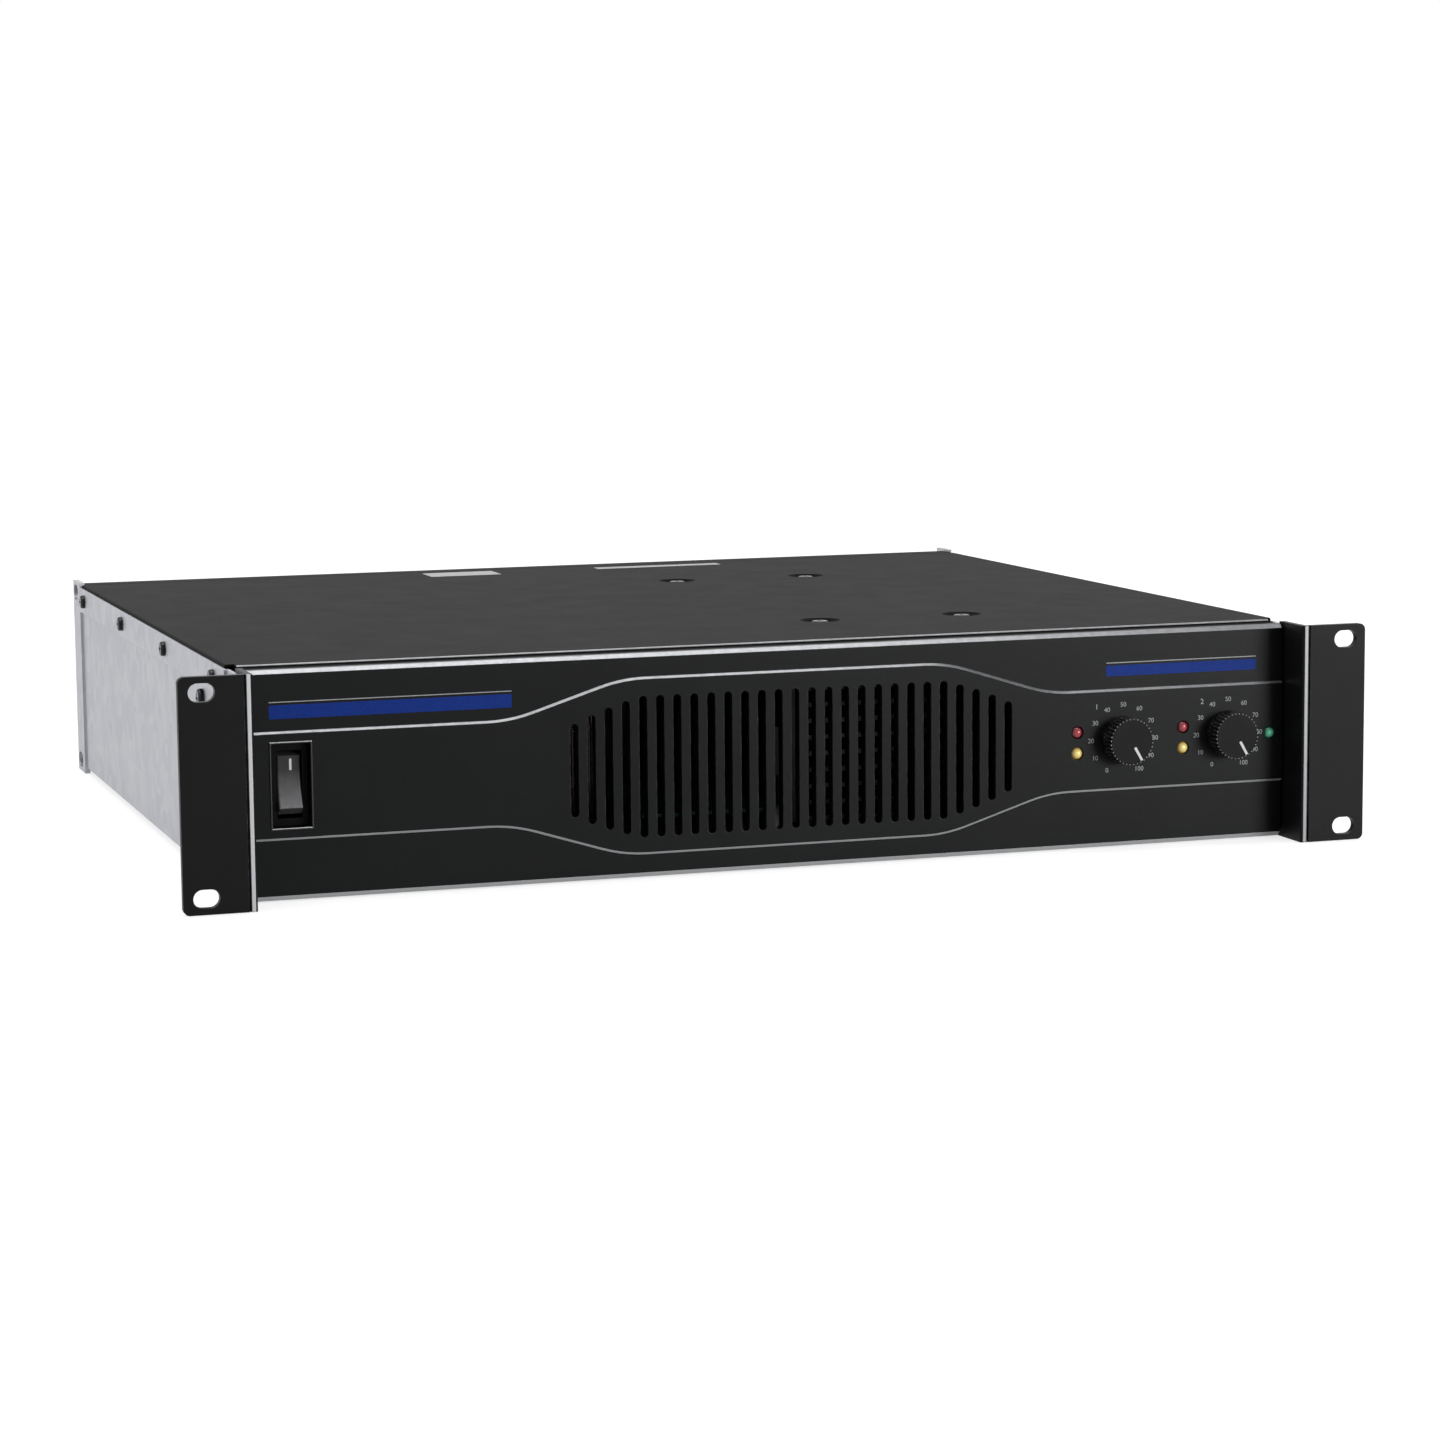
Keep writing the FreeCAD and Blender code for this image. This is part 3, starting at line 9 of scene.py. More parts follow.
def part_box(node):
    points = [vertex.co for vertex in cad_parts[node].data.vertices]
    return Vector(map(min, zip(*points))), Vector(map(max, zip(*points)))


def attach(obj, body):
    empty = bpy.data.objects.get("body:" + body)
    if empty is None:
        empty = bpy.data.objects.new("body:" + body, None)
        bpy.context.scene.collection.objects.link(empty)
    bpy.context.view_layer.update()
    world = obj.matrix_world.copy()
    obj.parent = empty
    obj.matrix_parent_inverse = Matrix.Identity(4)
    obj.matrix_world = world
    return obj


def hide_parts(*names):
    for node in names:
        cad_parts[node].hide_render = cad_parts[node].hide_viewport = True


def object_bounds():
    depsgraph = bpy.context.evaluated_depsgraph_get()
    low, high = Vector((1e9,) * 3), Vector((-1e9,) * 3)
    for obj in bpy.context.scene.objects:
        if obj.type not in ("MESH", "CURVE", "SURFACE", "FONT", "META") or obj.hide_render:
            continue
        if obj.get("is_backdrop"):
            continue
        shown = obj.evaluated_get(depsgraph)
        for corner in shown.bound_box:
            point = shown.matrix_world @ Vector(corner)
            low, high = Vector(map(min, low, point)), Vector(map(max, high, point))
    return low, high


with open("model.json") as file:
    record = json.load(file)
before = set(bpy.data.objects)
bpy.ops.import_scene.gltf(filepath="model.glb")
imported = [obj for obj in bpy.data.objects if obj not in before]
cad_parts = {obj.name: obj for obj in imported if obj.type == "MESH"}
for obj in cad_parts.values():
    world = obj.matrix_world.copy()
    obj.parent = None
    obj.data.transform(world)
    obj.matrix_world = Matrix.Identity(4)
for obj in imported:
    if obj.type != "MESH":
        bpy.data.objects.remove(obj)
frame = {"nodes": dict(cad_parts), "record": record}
cadLow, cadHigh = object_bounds()
mm = 0.001
print("frame loaded:", len(frame["nodes"]), "nodes")


def srgb(red, green, blue):
    # A written colour as the linear one that a shader takes
    channels = []
    for value in (red, green, blue):
        value = value / 255
        channels.append(value / 12.92 if value <= 0.04045 else ((value + 0.055) / 1.055) ** 2.4)
    return (*channels, 1.0)


def startMaterial(name):
    # A new material, its shader and the Object coordinates that its patterns read
    material = bpy.data.materials.new(name)
    material.use_nodes = True
    tree = material.node_tree
    shader = tree.nodes["Principled BSDF"]
    place = tree.nodes.new("ShaderNodeTexCoord").outputs["Object"]
    return material, tree, shader, place


def addNode(tree, kind, values=(), **settings):
    # Settings go on the node; a value that is a socket is linked, and any other is written
    node = tree.nodes.new(kind)
    for key, value in settings.items():
        setattr(node, key, value)
    for key, value in dict(values).items():
        if isinstance(value, bpy.types.NodeSocket):
            tree.links.new(value, node.inputs[key])
        else:
            node.inputs[key].default_value = value
    return node


def noise(tree, place, scale, detail=3.0, roughness=0.55):
    values = {"Vector": place, "Scale": scale, "Detail": detail, "Roughness": roughness}
    return addNode(tree, "ShaderNodeTexNoise", values).outputs["Fac"]


def stretched(tree, place, scale):
    return addNode(tree, "ShaderNodeMapping", {"Vector": place, "Scale": scale}).outputs["Vector"]


def ranged(tree, value, low, high, fromLow=0.3, fromHigh=0.7):
    # fromLow..fromHigh becomes low..high, held at both ends
    values = {"Value": value, "From Min": fromLow, "From Max": fromHigh, "To Min": low, "To Max": high}
    return addNode(tree, "ShaderNodeMapRange", values).outputs["Result"]


def mixed(tree, amount, first, second):
    node = addNode(tree, "ShaderNodeMix", data_type="RGBA")
    for socket, value in ((node.inputs[0], amount), (node.inputs[6], first), (node.inputs[7], second)):
        if isinstance(value, bpy.types.NodeSocket):
            tree.links.new(value, socket)
        else:
            socket.default_value = value
    return node.outputs[2]


def multiplied(tree, first, second):
    return addNode(tree, "ShaderNodeMath", {0: first, 1: second}, operation="MULTIPLY").outputs[0]


def subtracted(tree, first, second):
    return addNode(tree, "ShaderNodeMath", {0: first, 1: second}, operation="SUBTRACT").outputs[0]


def sizeOf(tree, value):
    return addNode(tree, "ShaderNodeMath", {0: value}, operation="ABSOLUTE").outputs[0]


def seenDirectly(tree):
    # 1 for camera, glossy and transmission rays, so that metal shows the same white surroundings
    path = addNode(tree, "ShaderNodeLightPath").outputs
    seen = path["Is Camera Ray"]
    for kind in ("Is Glossy Ray", "Is Transmission Ray"):
        seen = addNode(tree, "ShaderNodeMath", {0: seen, 1: path[kind]}, operation="MAXIMUM").outputs[0]
    return seen


def softEdge(tree, radius):
    return addNode(tree, "ShaderNodeBevel", {"Radius": radius}, samples=4).outputs["Normal"]


def edgeWear(tree, place, radius, strength):
    # Patchy wear where the rounded normal leaves the face's own; on the panel and the knob ribs it is mostly
    # a painted edge highlight
    rounded = softEdge(tree, radius)
    flat = addNode(tree, "ShaderNodeNewGeometry").outputs["True Normal"]
    match = addNode(tree, "ShaderNodeVectorMath", {0: rounded, 1: flat}, operation="DOT_PRODUCT")
    edge = ranged(tree, match.outputs["Value"], 1.0, 0.0, 0.78, 0.985)
    patchy = ranged(tree, noise(tree, place, 260, 4), 0.0, strength, 0.42, 0.62)
    return multiplied(tree, edge, patchy)


def between(tree, value, low, high, soft):
    # 1 inside low..high and 0 outside
    above = ranged(tree, value, 0.0, 1.0, low - soft, low + soft)
    below = ranged(tree, value, 1.0, 0.0, high - soft, high + soft)
    return multiplied(tree, above, below)


def placeParts(tree, place):
    return addNode(tree, "ShaderNodeSeparateXYZ", {"Vector": place}).outputs


def faceParts(tree):
    flat = addNode(tree, "ShaderNodeNewGeometry").outputs["True Normal"]
    return addNode(tree, "ShaderNodeSeparateXYZ", {"Vector": flat}).outputs


def bumped(tree, height, strength, distance, normal=None):
    values = {"Height": height, "Strength": strength, "Distance": distance}
    if normal is not None:
        values["Normal"] = normal
    return addNode(tree, "ShaderNodeBump", values).outputs["Normal"]


evenCoat = {"mottle": 18, "smear": 55, "tint": 420, "matt": 0.7, "coatRoughness": 0.1}


def coatedFinish(name, look):
    # Paint, moulded plastic and other even coats: mottled colour, grain and rubbed edges, partly a painted
    # edge highlight.
    # A mask in the look gives a second colour: bright cut metal, or a painted highlight; it is metal unless
    # "bareMetal" is False
    material, tree, shader, place = startMaterial(name)
    broad = noise(tree, place, evenCoat["mottle"], 4)
    colour = mixed(tree, ranged(tree, broad, 0.0, 1.0), look["colour"], look["second"])
    # Rubbed edges: real wear, and a painted edge highlight on the panel and the knob ribs
    colour = mixed(tree, edgeWear(tree, place, look["edge"], look["wearAndHighlight"]), colour, look["wornAndLitEdge"])
    smear = noise(tree, place, evenCoat["smear"], 5, 0.65)
    rough = ranged(tree, smear, look["roughness"] - look["spread"], look["roughness"] + look["spread"])
    shader.inputs["Metallic"].default_value = look.get("metallic", 0.0)
    if "bareAndLit" in look:
        mask = look["bareAndLit"](tree, place)
        tint = noise(tree, place, evenCoat["tint"], 3)
        bareAndLitColour = mixed(tree, ranged(tree, tint, 0.0, 1.0), look["bareAndLitColour"], look["bareAndLitSecond"])
        # Faces that look down are matt and take their own colour as painted light: paler on the panel's cuts,
        # darker on the rocker
        under = ranged(tree, faceParts(tree)["Z"], 0.0, 1.0, -0.2, -0.4)
        bareAndLitColour = mixed(tree, under, bareAndLitColour, look.get("paintedDownTone", look["bareAndLitColour"]))
        colour = mixed(tree, mask, colour, bareAndLitColour)
        rough = addNode(tree, "ShaderNodeMix", {0: mask, 2: rough, 3: look["bareAndLitRoughness"]}).outputs[0]
        if look.get("bareMetal", True):
            shine = subtracted(tree, 1.0, multiplied(tree, under, evenCoat["matt"]))
            tree.links.new(multiplied(tree, mask, shine), shader.inputs["Metallic"])
    tree.links.new(colour, shader.inputs["Base Color"])
    tree.links.new(rough, shader.inputs["Roughness"])
    grain = noise(tree, place, look["grain"], 2)
    rounded = softEdge(tree, look["edge"])
    tree.links.new(bumped(tree, grain, look["bump"], look["depth"], rounded), shader.inputs["Normal"])
    shader.inputs["Specular IOR Level"].default_value = look.get("specular", 0.5)
    shader.inputs["Coat Weight"].default_value = look.get("coat", 0.0)
    shader.inputs["Coat Roughness"].default_value = evenCoat["coatRoughness"]
    return material


def galvanisedSheet():
    # Zinc crystals under a faint cloud, with the lines of the rolling
    look = {"light": srgb(176, 177, 182), "dark": srgb(168, 169, 175), "cloud": srgb(150, 152, 160),
            "spangle": 140, "roughness": 0.5, "spread": 0.06, "metallic": 0.75, "rolling": 900}
    material, tree, shader, place = startMaterial("galvanisedSheet")
    cells = addNode(tree, "ShaderNodeTexVoronoi", {"Vector": place, "Scale": look["spangle"]})
    tone = addNode(tree, "ShaderNodeSeparateColor", {"Color": cells.outputs["Color"]}).outputs["Red"]
    cloud = noise(tree, place, 7, 4)
    colour = mixed(tree, ranged(tree, tone, 0.0, 0.55, 0.0, 1.0), look["light"], look["dark"])
    colour = mixed(tree, ranged(tree, cloud, 0.0, 0.12), colour, look["cloud"])
    tree.links.new(colour, shader.inputs["Base Color"])
    smooth, dull = look["roughness"] - look["spread"], look["roughness"] + look["spread"]
    tree.links.new(ranged(tree, tone, smooth, dull, 0.0, 1.0), shader.inputs["Roughness"])
    shader.inputs["Metallic"].default_value = look["metallic"]
    rolled = noise(tree, stretched(tree, place, (1, 0.05, 1)), look["rolling"], 2)
    tree.links.new(bumped(tree, rolled, 0.12, 0.0002, softEdge(tree, 0.0004)), shader.inputs["Normal"])
    return material


def coverPaint():
    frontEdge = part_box("top_cover")[0].y
    fold = {"from": 1.0 * mm, "to": 2.0 * mm}

    def foldedEdge(tree, place):
        # Painted highlight along the front fold
        face, spot = faceParts(tree), placeParts(tree, place)
        turned = ranged(tree, multiplied(tree, face["Y"], face["Z"]), 0.0, 0.8, -0.12, -0.3)
        near = ranged(tree, spot["Y"], 1.0, 0.0, frontEdge + fold["from"], frontEdge + fold["to"])
        return multiplied(tree, turned, near)

    return coatedFinish("coverPaint", {
        "colour": srgb(24, 24, 25), "second": srgb(27, 27, 28), "wornAndLitEdge": srgb(96, 97, 99), "wearAndHighlight": 0.5,
        "edge": 0.0003, "roughness": 0.55, "spread": 0.02, "grain": 1400, "bump": 0.3, "depth": 0.0002,
        "specular": 0.015, "bareAndLit": foldedEdge, "bareAndLitColour": srgb(150, 151, 153),
        "bareAndLitSecond": srgb(132, 133, 135), "bareAndLitRoughness": 0.3})


def panelPaint():
    low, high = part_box("power_switch_body")
    opening = {"beside": 4.0 * mm, "soft": 0.1 * mm}

    def cutEdges(tree, place):
        # Every 45-degree edge of the panel is cut bright, but for the switch opening
        spot = placeParts(tree, place)
        beside, soft = opening["beside"], opening["soft"]
        atSwitch = multiplied(tree, between(tree, spot["X"], low.x - beside, high.x + beside, soft),
                              between(tree, spot["Z"], low.z - beside, high.z + beside, soft))
        slanted = between(tree, faceParts(tree)["Y"], -0.9, -0.5, 0.02)
        return multiplied(tree, subtracted(tree, 1.0, atSwitch), slanted)

    # The panel's rubbed edges are a painted edge highlight, brightest along the vent slots; its cuts that
    # look down are painted paler, as painted light
    return coatedFinish("panelPaint", {
        "colour": srgb(14, 15, 16), "second": srgb(18, 19, 20), "wornAndLitEdge": srgb(84, 85, 87), "wearAndHighlight": 0.9,
        "edge": 0.0005, "roughness": 0.34, "spread": 0.03, "grain": 1900, "bump": 0.2, "depth": 0.0002,
        "specular": 0.08, "bareAndLit": cutEdges, "bareAndLitColour": srgb(124, 125, 127),
        "bareAndLitSecond": srgb(110, 111, 113), "paintedDownTone": srgb(172, 173, 175), "bareAndLitRoughness": 0.3})


def earAnodising(side):
    # The bead along the ear's inner edge carries a painted highlight, lighter on the left ear than on the
    # right; side is -1 for the left ear
    earLow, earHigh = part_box("left_rack_ear" if side < 0 else "right_rack_ear")
    inner = -earHigh.x if side < 0 else earLow.x
    bead = {"from": 0.9 * mm, "to": 2.3 * mm, "deep": 1.2 * mm, "soft": 0.1 * mm,
            "light": srgb(172, 173, 175) if side < 0 else srgb(120, 121, 123)}

    def brightBead(tree, place):
        spot = placeParts(tree, place)
        strip = between(tree, sizeOf(tree, spot["X"]), inner + bead["from"], inner + bead["to"], bead["soft"])
        back = earLow.y + bead["deep"]
        return multiplied(tree, strip, ranged(tree, spot["Y"], 0.8, 0.0, back, back + 2 * bead["soft"]))

    return coatedFinish("earAnodising_%s" % ("left" if side < 0 else "right"), {
        "colour": srgb(14, 14, 15), "second": srgb(18, 18, 19), "wornAndLitEdge": srgb(120, 120, 122), "wearAndHighlight": 0.7,
        "edge": 0.0003, "roughness": 0.42, "spread": 0.03, "grain": 2300, "bump": 0.2, "depth": 0.0002,
        "specular": 0.08, "bareAndLit": brightBead, "bareAndLitColour": bead["light"], "bareAndLitSecond": bead["light"],
        "bareAndLitRoughness": 0.4})


def platedSheet():
    return coatedFinish("platedSheet", {
        "colour": srgb(176, 177, 180), "second": srgb(158, 160, 165), "wornAndLitEdge": srgb(205, 205, 207),
        "wearAndHighlight": 0.4, "edge": 0.0003, "roughness": 0.36, "spread": 0.07, "grain": 700, "bump": 0.15,
        "depth": 0.0002, "metallic": 1.0})


def nickelPlating():
    return coatedFinish("nickelPlating", {
        "colour": srgb(205, 200, 190), "second": srgb(188, 184, 176), "wornAndLitEdge": srgb(220, 216, 208),
        "wearAndHighlight": 0.3, "edge": 0.0002, "roughness": 0.2, "spread": 0.06, "grain": 900, "bump": 0.08,
        "depth": 0.0001, "metallic": 1.0})


def blackOxide():
    return coatedFinish("blackOxide", {
        "colour": srgb(20, 20, 24), "second": srgb(28, 28, 33), "wornAndLitEdge": srgb(105, 106, 112), "wearAndHighlight": 0.85,
        "edge": 0.0003, "roughness": 0.26, "spread": 0.06, "grain": 1500, "bump": 0.2, "depth": 0.0001,
        "metallic": 0.55})


def switchNylon():
    return coatedFinish("switchNylon", {
        "colour": srgb(7, 7, 8), "second": srgb(10, 10, 11), "wornAndLitEdge": srgb(50, 50, 52), "wearAndHighlight": 0.3,
        "edge": 0.0003, "roughness": 0.4, "spread": 0.03, "grain": 1700, "bump": 0.1, "depth": 0.0001,
        "specular": 0.04})


def rockerNylon():
    low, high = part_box("power_rocker")
    middle = (low.z + high.z) / 2
    lowerLight = {"below": 9.0 * mm, "above": 5.0 * mm}

    def pressedHalf(tree, place):
        # Painted highlight on the lower half, which faces the light from above; its faces that look down are
        # painted darker, as painted shade
        height = placeParts(tree, place)["Z"]
        return ranged(tree, height, 1.0, 0.0, middle - lowerLight["below"], middle + lowerLight["above"])

    return coatedFinish("rockerNylon", {
        "colour": srgb(44, 44, 45), "second": srgb(50, 50, 51), "wornAndLitEdge": srgb(140, 140, 142), "wearAndHighlight": 0.5,
        "edge": 0.0004, "roughness": 0.34, "spread": 0.04, "grain": 1700, "bump": 0.12, "depth": 0.0001,
        "specular": 0.15, "bareAndLit": pressedHalf, "bareAndLitColour": srgb(124, 124, 126),
        "bareAndLitSecond": srgb(112, 112, 114), "paintedDownTone": srgb(60, 60, 61), "bareAndLitRoughness": 0.26,
        "bareMetal": False})


def knobPlastic():
    return coatedFinish("knobPlastic", {
        "colour": srgb(8, 8, 9), "second": srgb(12, 12, 13), "wornAndLitEdge": srgb(150, 150, 152), "wearAndHighlight": 0.9,
        "edge": 0.0003, "roughness": 0.46, "spread": 0.05, "grain": 2600, "bump": 0.35, "depth": 0.0002,
        "specular": 0.08})


def mouldedBlack():
    return coatedFinish("mouldedBlack", {
        "colour": srgb(22, 22, 23), "second": srgb(28, 28, 29), "wornAndLitEdge": srgb(70, 70, 72), "wearAndHighlight": 0.4,
        "edge": 0.0003, "roughness": 0.46, "spread": 0.06, "grain": 1300, "bump": 0.3, "depth": 0.0002})


def capFinish(name, colour, second):
    return coatedFinish(name, {
        "colour": colour, "second": second, "wornAndLitEdge": srgb(190, 150, 145), "wearAndHighlight": 0.25,
        "edge": 0.0003, "roughness": 0.28, "spread": 0.05, "grain": 1200, "bump": 0.12, "depth": 0.0001,
        "coat": 0.2})


def padRubber():
    return coatedFinish("padRubber", {
        "colour": srgb(34, 34, 34), "second": srgb(44, 43, 42), "wornAndLitEdge": srgb(60, 60, 58), "wearAndHighlight": 0.3,
        "edge": 0.0004, "roughness": 0.82, "spread": 0.06, "grain": 800, "bump": 0.5, "depth": 0.0003})


def cablePlastic():
    return coatedFinish("cablePlastic", {
        "colour": srgb(120, 120, 124), "second": srgb(134, 134, 138), "wornAndLitEdge": srgb(160, 160, 160),
        "wearAndHighlight": 0.1, "edge": 0.0002, "roughness": 0.5, "spread": 0.05, "grain": 600, "bump": 0.1,
        "depth": 0.0001})


def canSleeve():
    return coatedFinish("canSleeve", {
        "colour": srgb(24, 32, 74), "second": srgb(30, 40, 88), "wornAndLitEdge": srgb(150, 155, 175), "wearAndHighlight": 0.3,
        "edge": 0.0004, "roughness": 0.3, "spread": 0.05, "grain": 300, "bump": 0.12, "depth": 0.0002,
        "coat": 0.3})


def heatsinkAnodising():
    # Dark anodising over the lines of the extrusion
    material, tree, shader, place = startMaterial("heatsinkAnodising")
    drawn = noise(tree, stretched(tree, place, (1, 0.02, 1)), 1500, 3)
    colour = mixed(tree, ranged(tree, drawn, 0.0, 1.0), srgb(20, 20, 22), srgb(30, 30, 32))
    tree.links.new(colour, shader.inputs["Base Color"])
    tree.links.new(ranged(tree, drawn, 0.4, 0.55), shader.inputs["Roughness"])
    tree.links.new(bumped(tree, drawn, 0.3, 0.0002, softEdge(tree, 0.0003)), shader.inputs["Normal"])
    return material


def solderMask():
    # Green lacquer with paler tracks under it
    material, tree, shader, place = startMaterial("solderMask")
    cells = addNode(tree, "ShaderNodeTexVoronoi", {"Vector": place, "Scale": 130}, distance="MANHATTAN")
    trace = ranged(tree, cells.outputs["Distance"], 0.0, 1.0, 0.3, 0.34)
    colour = mixed(tree, trace, srgb(12, 74, 40), srgb(26, 104, 58))
    tree.links.new(colour, shader.inputs["Base Color"])
    tree.links.new(ranged(tree, noise(tree, place, 90, 4), 0.28, 0.4), shader.inputs["Roughness"])
    tree.links.new(bumped(tree, trace, 0.4, 0.0001), shader.inputs["Normal"])
    return material


def windingTape():
    # Dark varnished tape
    material, tree, shader, place = startMaterial("windingTape")
    broad = noise(tree, place, 40, 4)
    colour = mixed(tree, ranged(tree, broad, 0.0, 1.0), srgb(58, 44, 26), srgb(42, 32, 20))
    tree.links.new(colour, shader.inputs["Base Color"])
    tree.links.new(ranged(tree, noise(tree, place, 160, 4), 0.2, 0.36), shader.inputs["Roughness"])
    tree.links.new(bumped(tree, noise(tree, place, 300, 3), 0.2, 0.0003), shader.inputs["Normal"])
    shader.inputs["Coat Weight"].default_value = 0.35
    return material


def lensEpoxy(name, node, deep, bright, glow):
    # Tinted lens, brightest at its middle, where the lit chip is; the pale middle is partly a painted
    # highlight and the darker rim painted shade.
    # A node may hold two lenses at one height
    low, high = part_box(node)
    radius = (high.z - low.z) / 2
    height = (low.z + high.z) / 2
    material, tree, shader, place = startMaterial(name)
    flat = addNode(tree, "ShaderNodeVectorMath", {0: place, 1: (1, 0, 1)}, operation="MULTIPLY")
    away = []
    for x in (low.x + radius, high.x - radius):
        values = {0: flat.outputs["Vector"], 1: (x, 0, height)}
        away.append(addNode(tree, "ShaderNodeVectorMath", values, operation="DISTANCE").outputs["Value"])
    nearest = addNode(tree, "ShaderNodeMath", {0: away[0], 1: away[1]}, operation="MINIMUM").outputs[0]
    chip = {"core": 0.35 * radius, "rim": 0.95 * radius}
    rim = ranged(tree, nearest, 0.0, 1.0, chip["core"], chip["rim"])
    cloud = multiplied(tree, noise(tree, place, 900, 2), 0.25)
    shade = addNode(tree, "ShaderNodeMath", {0: rim, 1: cloud}, operation="ADD", use_clamp=True).outputs[0]
    colour = mixed(tree, shade, bright, deep)
    tree.links.new(colour, shader.inputs["Base Color"])
    tree.links.new(colour, shader.inputs["Emission Color"])
    shader.inputs["Emission Strength"].default_value = glow
    tree.links.new(ranged(tree, noise(tree, place, 500, 3), 0.08, 0.16), shader.inputs["Roughness"])
    tree.links.new(bumped(tree, noise(tree, place, 1500, 2), 0.1, 0.0001), shader.inputs["Normal"])
    return material


inkPrint = {"grain": 1600, "smear": 700, "spread": 0.06, "specular": 0.12}


def printedInk(name, colour, second, roughness=0.4):
    # Screen print that is thin in places
    material, tree, shader, place = startMaterial(name)
    thin = noise(tree, place, inkPrint["grain"], 4)
    colour = mixed(tree, ranged(tree, thin, 0.0, 1.0, 0.35, 0.75), colour, second)
    tree.links.new(colour, shader.inputs["Base Color"])
    smear = noise(tree, place, inkPrint["smear"], 3)
    rough = ranged(tree, smear, roughness - inkPrint["spread"], roughness + inkPrint["spread"])
    tree.links.new(rough, shader.inputs["Roughness"])
    tree.links.new(bumped(tree, thin, 0.15, 0.00005), shader.inputs["Normal"])
    shader.inputs["Specular IOR Level"].default_value = inkPrint["specular"]
    return material


finishes = {
    "galvanised_steel": galvanisedSheet(), "black_sheet": coverPaint(), "black_panel": panelPaint(),
    "ear_black": earAnodising(-1), "inner_steel": platedSheet(), "black_screw": blackOxide(),
    "switch_plastic": switchNylon(), "knob_plastic": knobPlastic(), "zinc_metal": platedSheet(),
    "nickel_metal": nickelPlating(), "circuit_board": solderMask(), "component_black": mouldedBlack(),
    "winding_film": windingTape(), "pad_rubber": padRubber(), "heatsink_aluminium": heatsinkAnodising(),
    "can_sleeve": canSleeve(), "cable_pvc": cablePlastic(),
    "red_lens": lensEpoxy("redLens", "clip_leds", srgb(76, 12, 20), srgb(156, 50, 60), 0.18),
    "yellow_lens": lensEpoxy("yellowLens", "signal_leds", srgb(136, 104, 34), srgb(216, 200, 126), 0.35),
    "green_lens": lensEpoxy("greenLens", "power_led", srgb(10, 70, 48), srgb(84, 176, 140), 0.3),
    "red_cap": capFinish("redCap", srgb(168, 18, 22), srgb(150, 14, 18)),
    "black_cap": capFinish("blackCap", srgb(20, 20, 21), srgb(27, 27, 28)),
}
inkWhite = printedInk("inkWhite", srgb(214, 216, 214), srgb(190, 192, 190))
inkGrey = printedInk("inkGrey", srgb(160, 163, 165), srgb(140, 143, 145))
inkBlue = printedInk("inkBlue", srgb(0, 42, 124), srgb(0, 34, 104), 0.55)


def wornTips(tree, place):
    # Painted highlight on the ends of the ribs, which look forward
    return ranged(tree, faceParts(tree)["Y"], 1.0, 0.0, -0.75, -0.35)


def litTop(tree, place):
    # Painted highlight on what looks up
    return ranged(tree, faceParts(tree)["Z"], 0.0, 1.0, 0.3, 0.6)


ribPlastic = coatedFinish("ribPlastic", {
    "colour": srgb(16, 16, 17), "second": srgb(21, 21, 22), "wornAndLitEdge": srgb(160, 160, 162), "wearAndHighlight": 0.8,
    "edge": 0.0003, "roughness": 0.36, "spread": 0.05, "grain": 2600, "bump": 0.2, "depth": 0.0001,
    "bareAndLit": wornTips, "bareAndLitColour": srgb(176, 176, 178), "bareAndLitSecond": srgb(104, 104, 106),
    "bareAndLitRoughness": 0.4, "bareMetal": False})
rimPlastic = coatedFinish("rimPlastic", {
    "colour": srgb(20, 20, 21), "second": srgb(25, 25, 26), "wornAndLitEdge": srgb(64, 64, 66), "wearAndHighlight": 0.4,
    "edge": 0.0003, "roughness": 0.3, "spread": 0.04, "grain": 2000, "bump": 0.1, "depth": 0.0001,
    "bareAndLit": litTop, "bareAndLitColour": srgb(206, 206, 208), "bareAndLitSecond": srgb(190, 190, 192),
    "bareAndLitRoughness": 0.3, "bareMetal": False})
labelPaper = printedInk("labelPaper", srgb(172, 172, 172), srgb(156, 156, 156), 0.5)

for subpart in frame["record"]["subparts"]:
    mesh = frame["nodes"][subpart["node"]].data
    mesh.materials.clear()
    mesh.materials.append(finishes[subpart["material_slot"]])
frame["nodes"]["right_rack_ear"].data.materials[0] = earAnodising(1)
frame["nodes"]["power_rocker"].data.materials[0] = rockerNylon()


def meshObject(name, mesh, material):
    piece = bpy.data.objects.new(name, mesh)
    bpy.context.scene.collection.objects.link(piece)
    mesh.materials.clear()
    mesh.materials.append(material)
    return piece


def textMesh(words, height, thickness):
    # Lettering as a closed mesh, lying in XY; a digit is capShare of the font's size
    capShare = 0.72
    curve = bpy.data.curves.new("lettering", "FONT")
    curve.body = words
    curve.size = height / capShare
    curve.align_x = "CENTER"
    curve.align_y = "CENTER"
    curve.extrude = thickness / 2
    holder = bpy.data.objects.new("lettering", curve)
    bpy.context.scene.collection.objects.link(holder)
    graph = bpy.context.evaluated_depsgraph_get()
    mesh = bpy.data.meshes.new_from_object(holder.evaluated_get(graph))
    bpy.data.objects.remove(holder)
    return mesh


def joinMeshes(name, meshes):
    joined = bmesh.new()
    for mesh in meshes:
        joined.from_mesh(mesh)
        bpy.data.meshes.remove(mesh)
    bmesh.ops.recalc_face_normals(joined, faces=joined.faces)
    result = bpy.data.meshes.new(name)
    joined.to_mesh(result)
    joined.free()
    return result


def onFront(mesh, x, y, z):
    # Stand a flat mesh up so that it looks forward, with its middle at x, y, z
    mesh.transform(Matrix.Translation((x, y, z)) @ Matrix.Rotation(math.radians(90), 4, "X"))
    return mesh


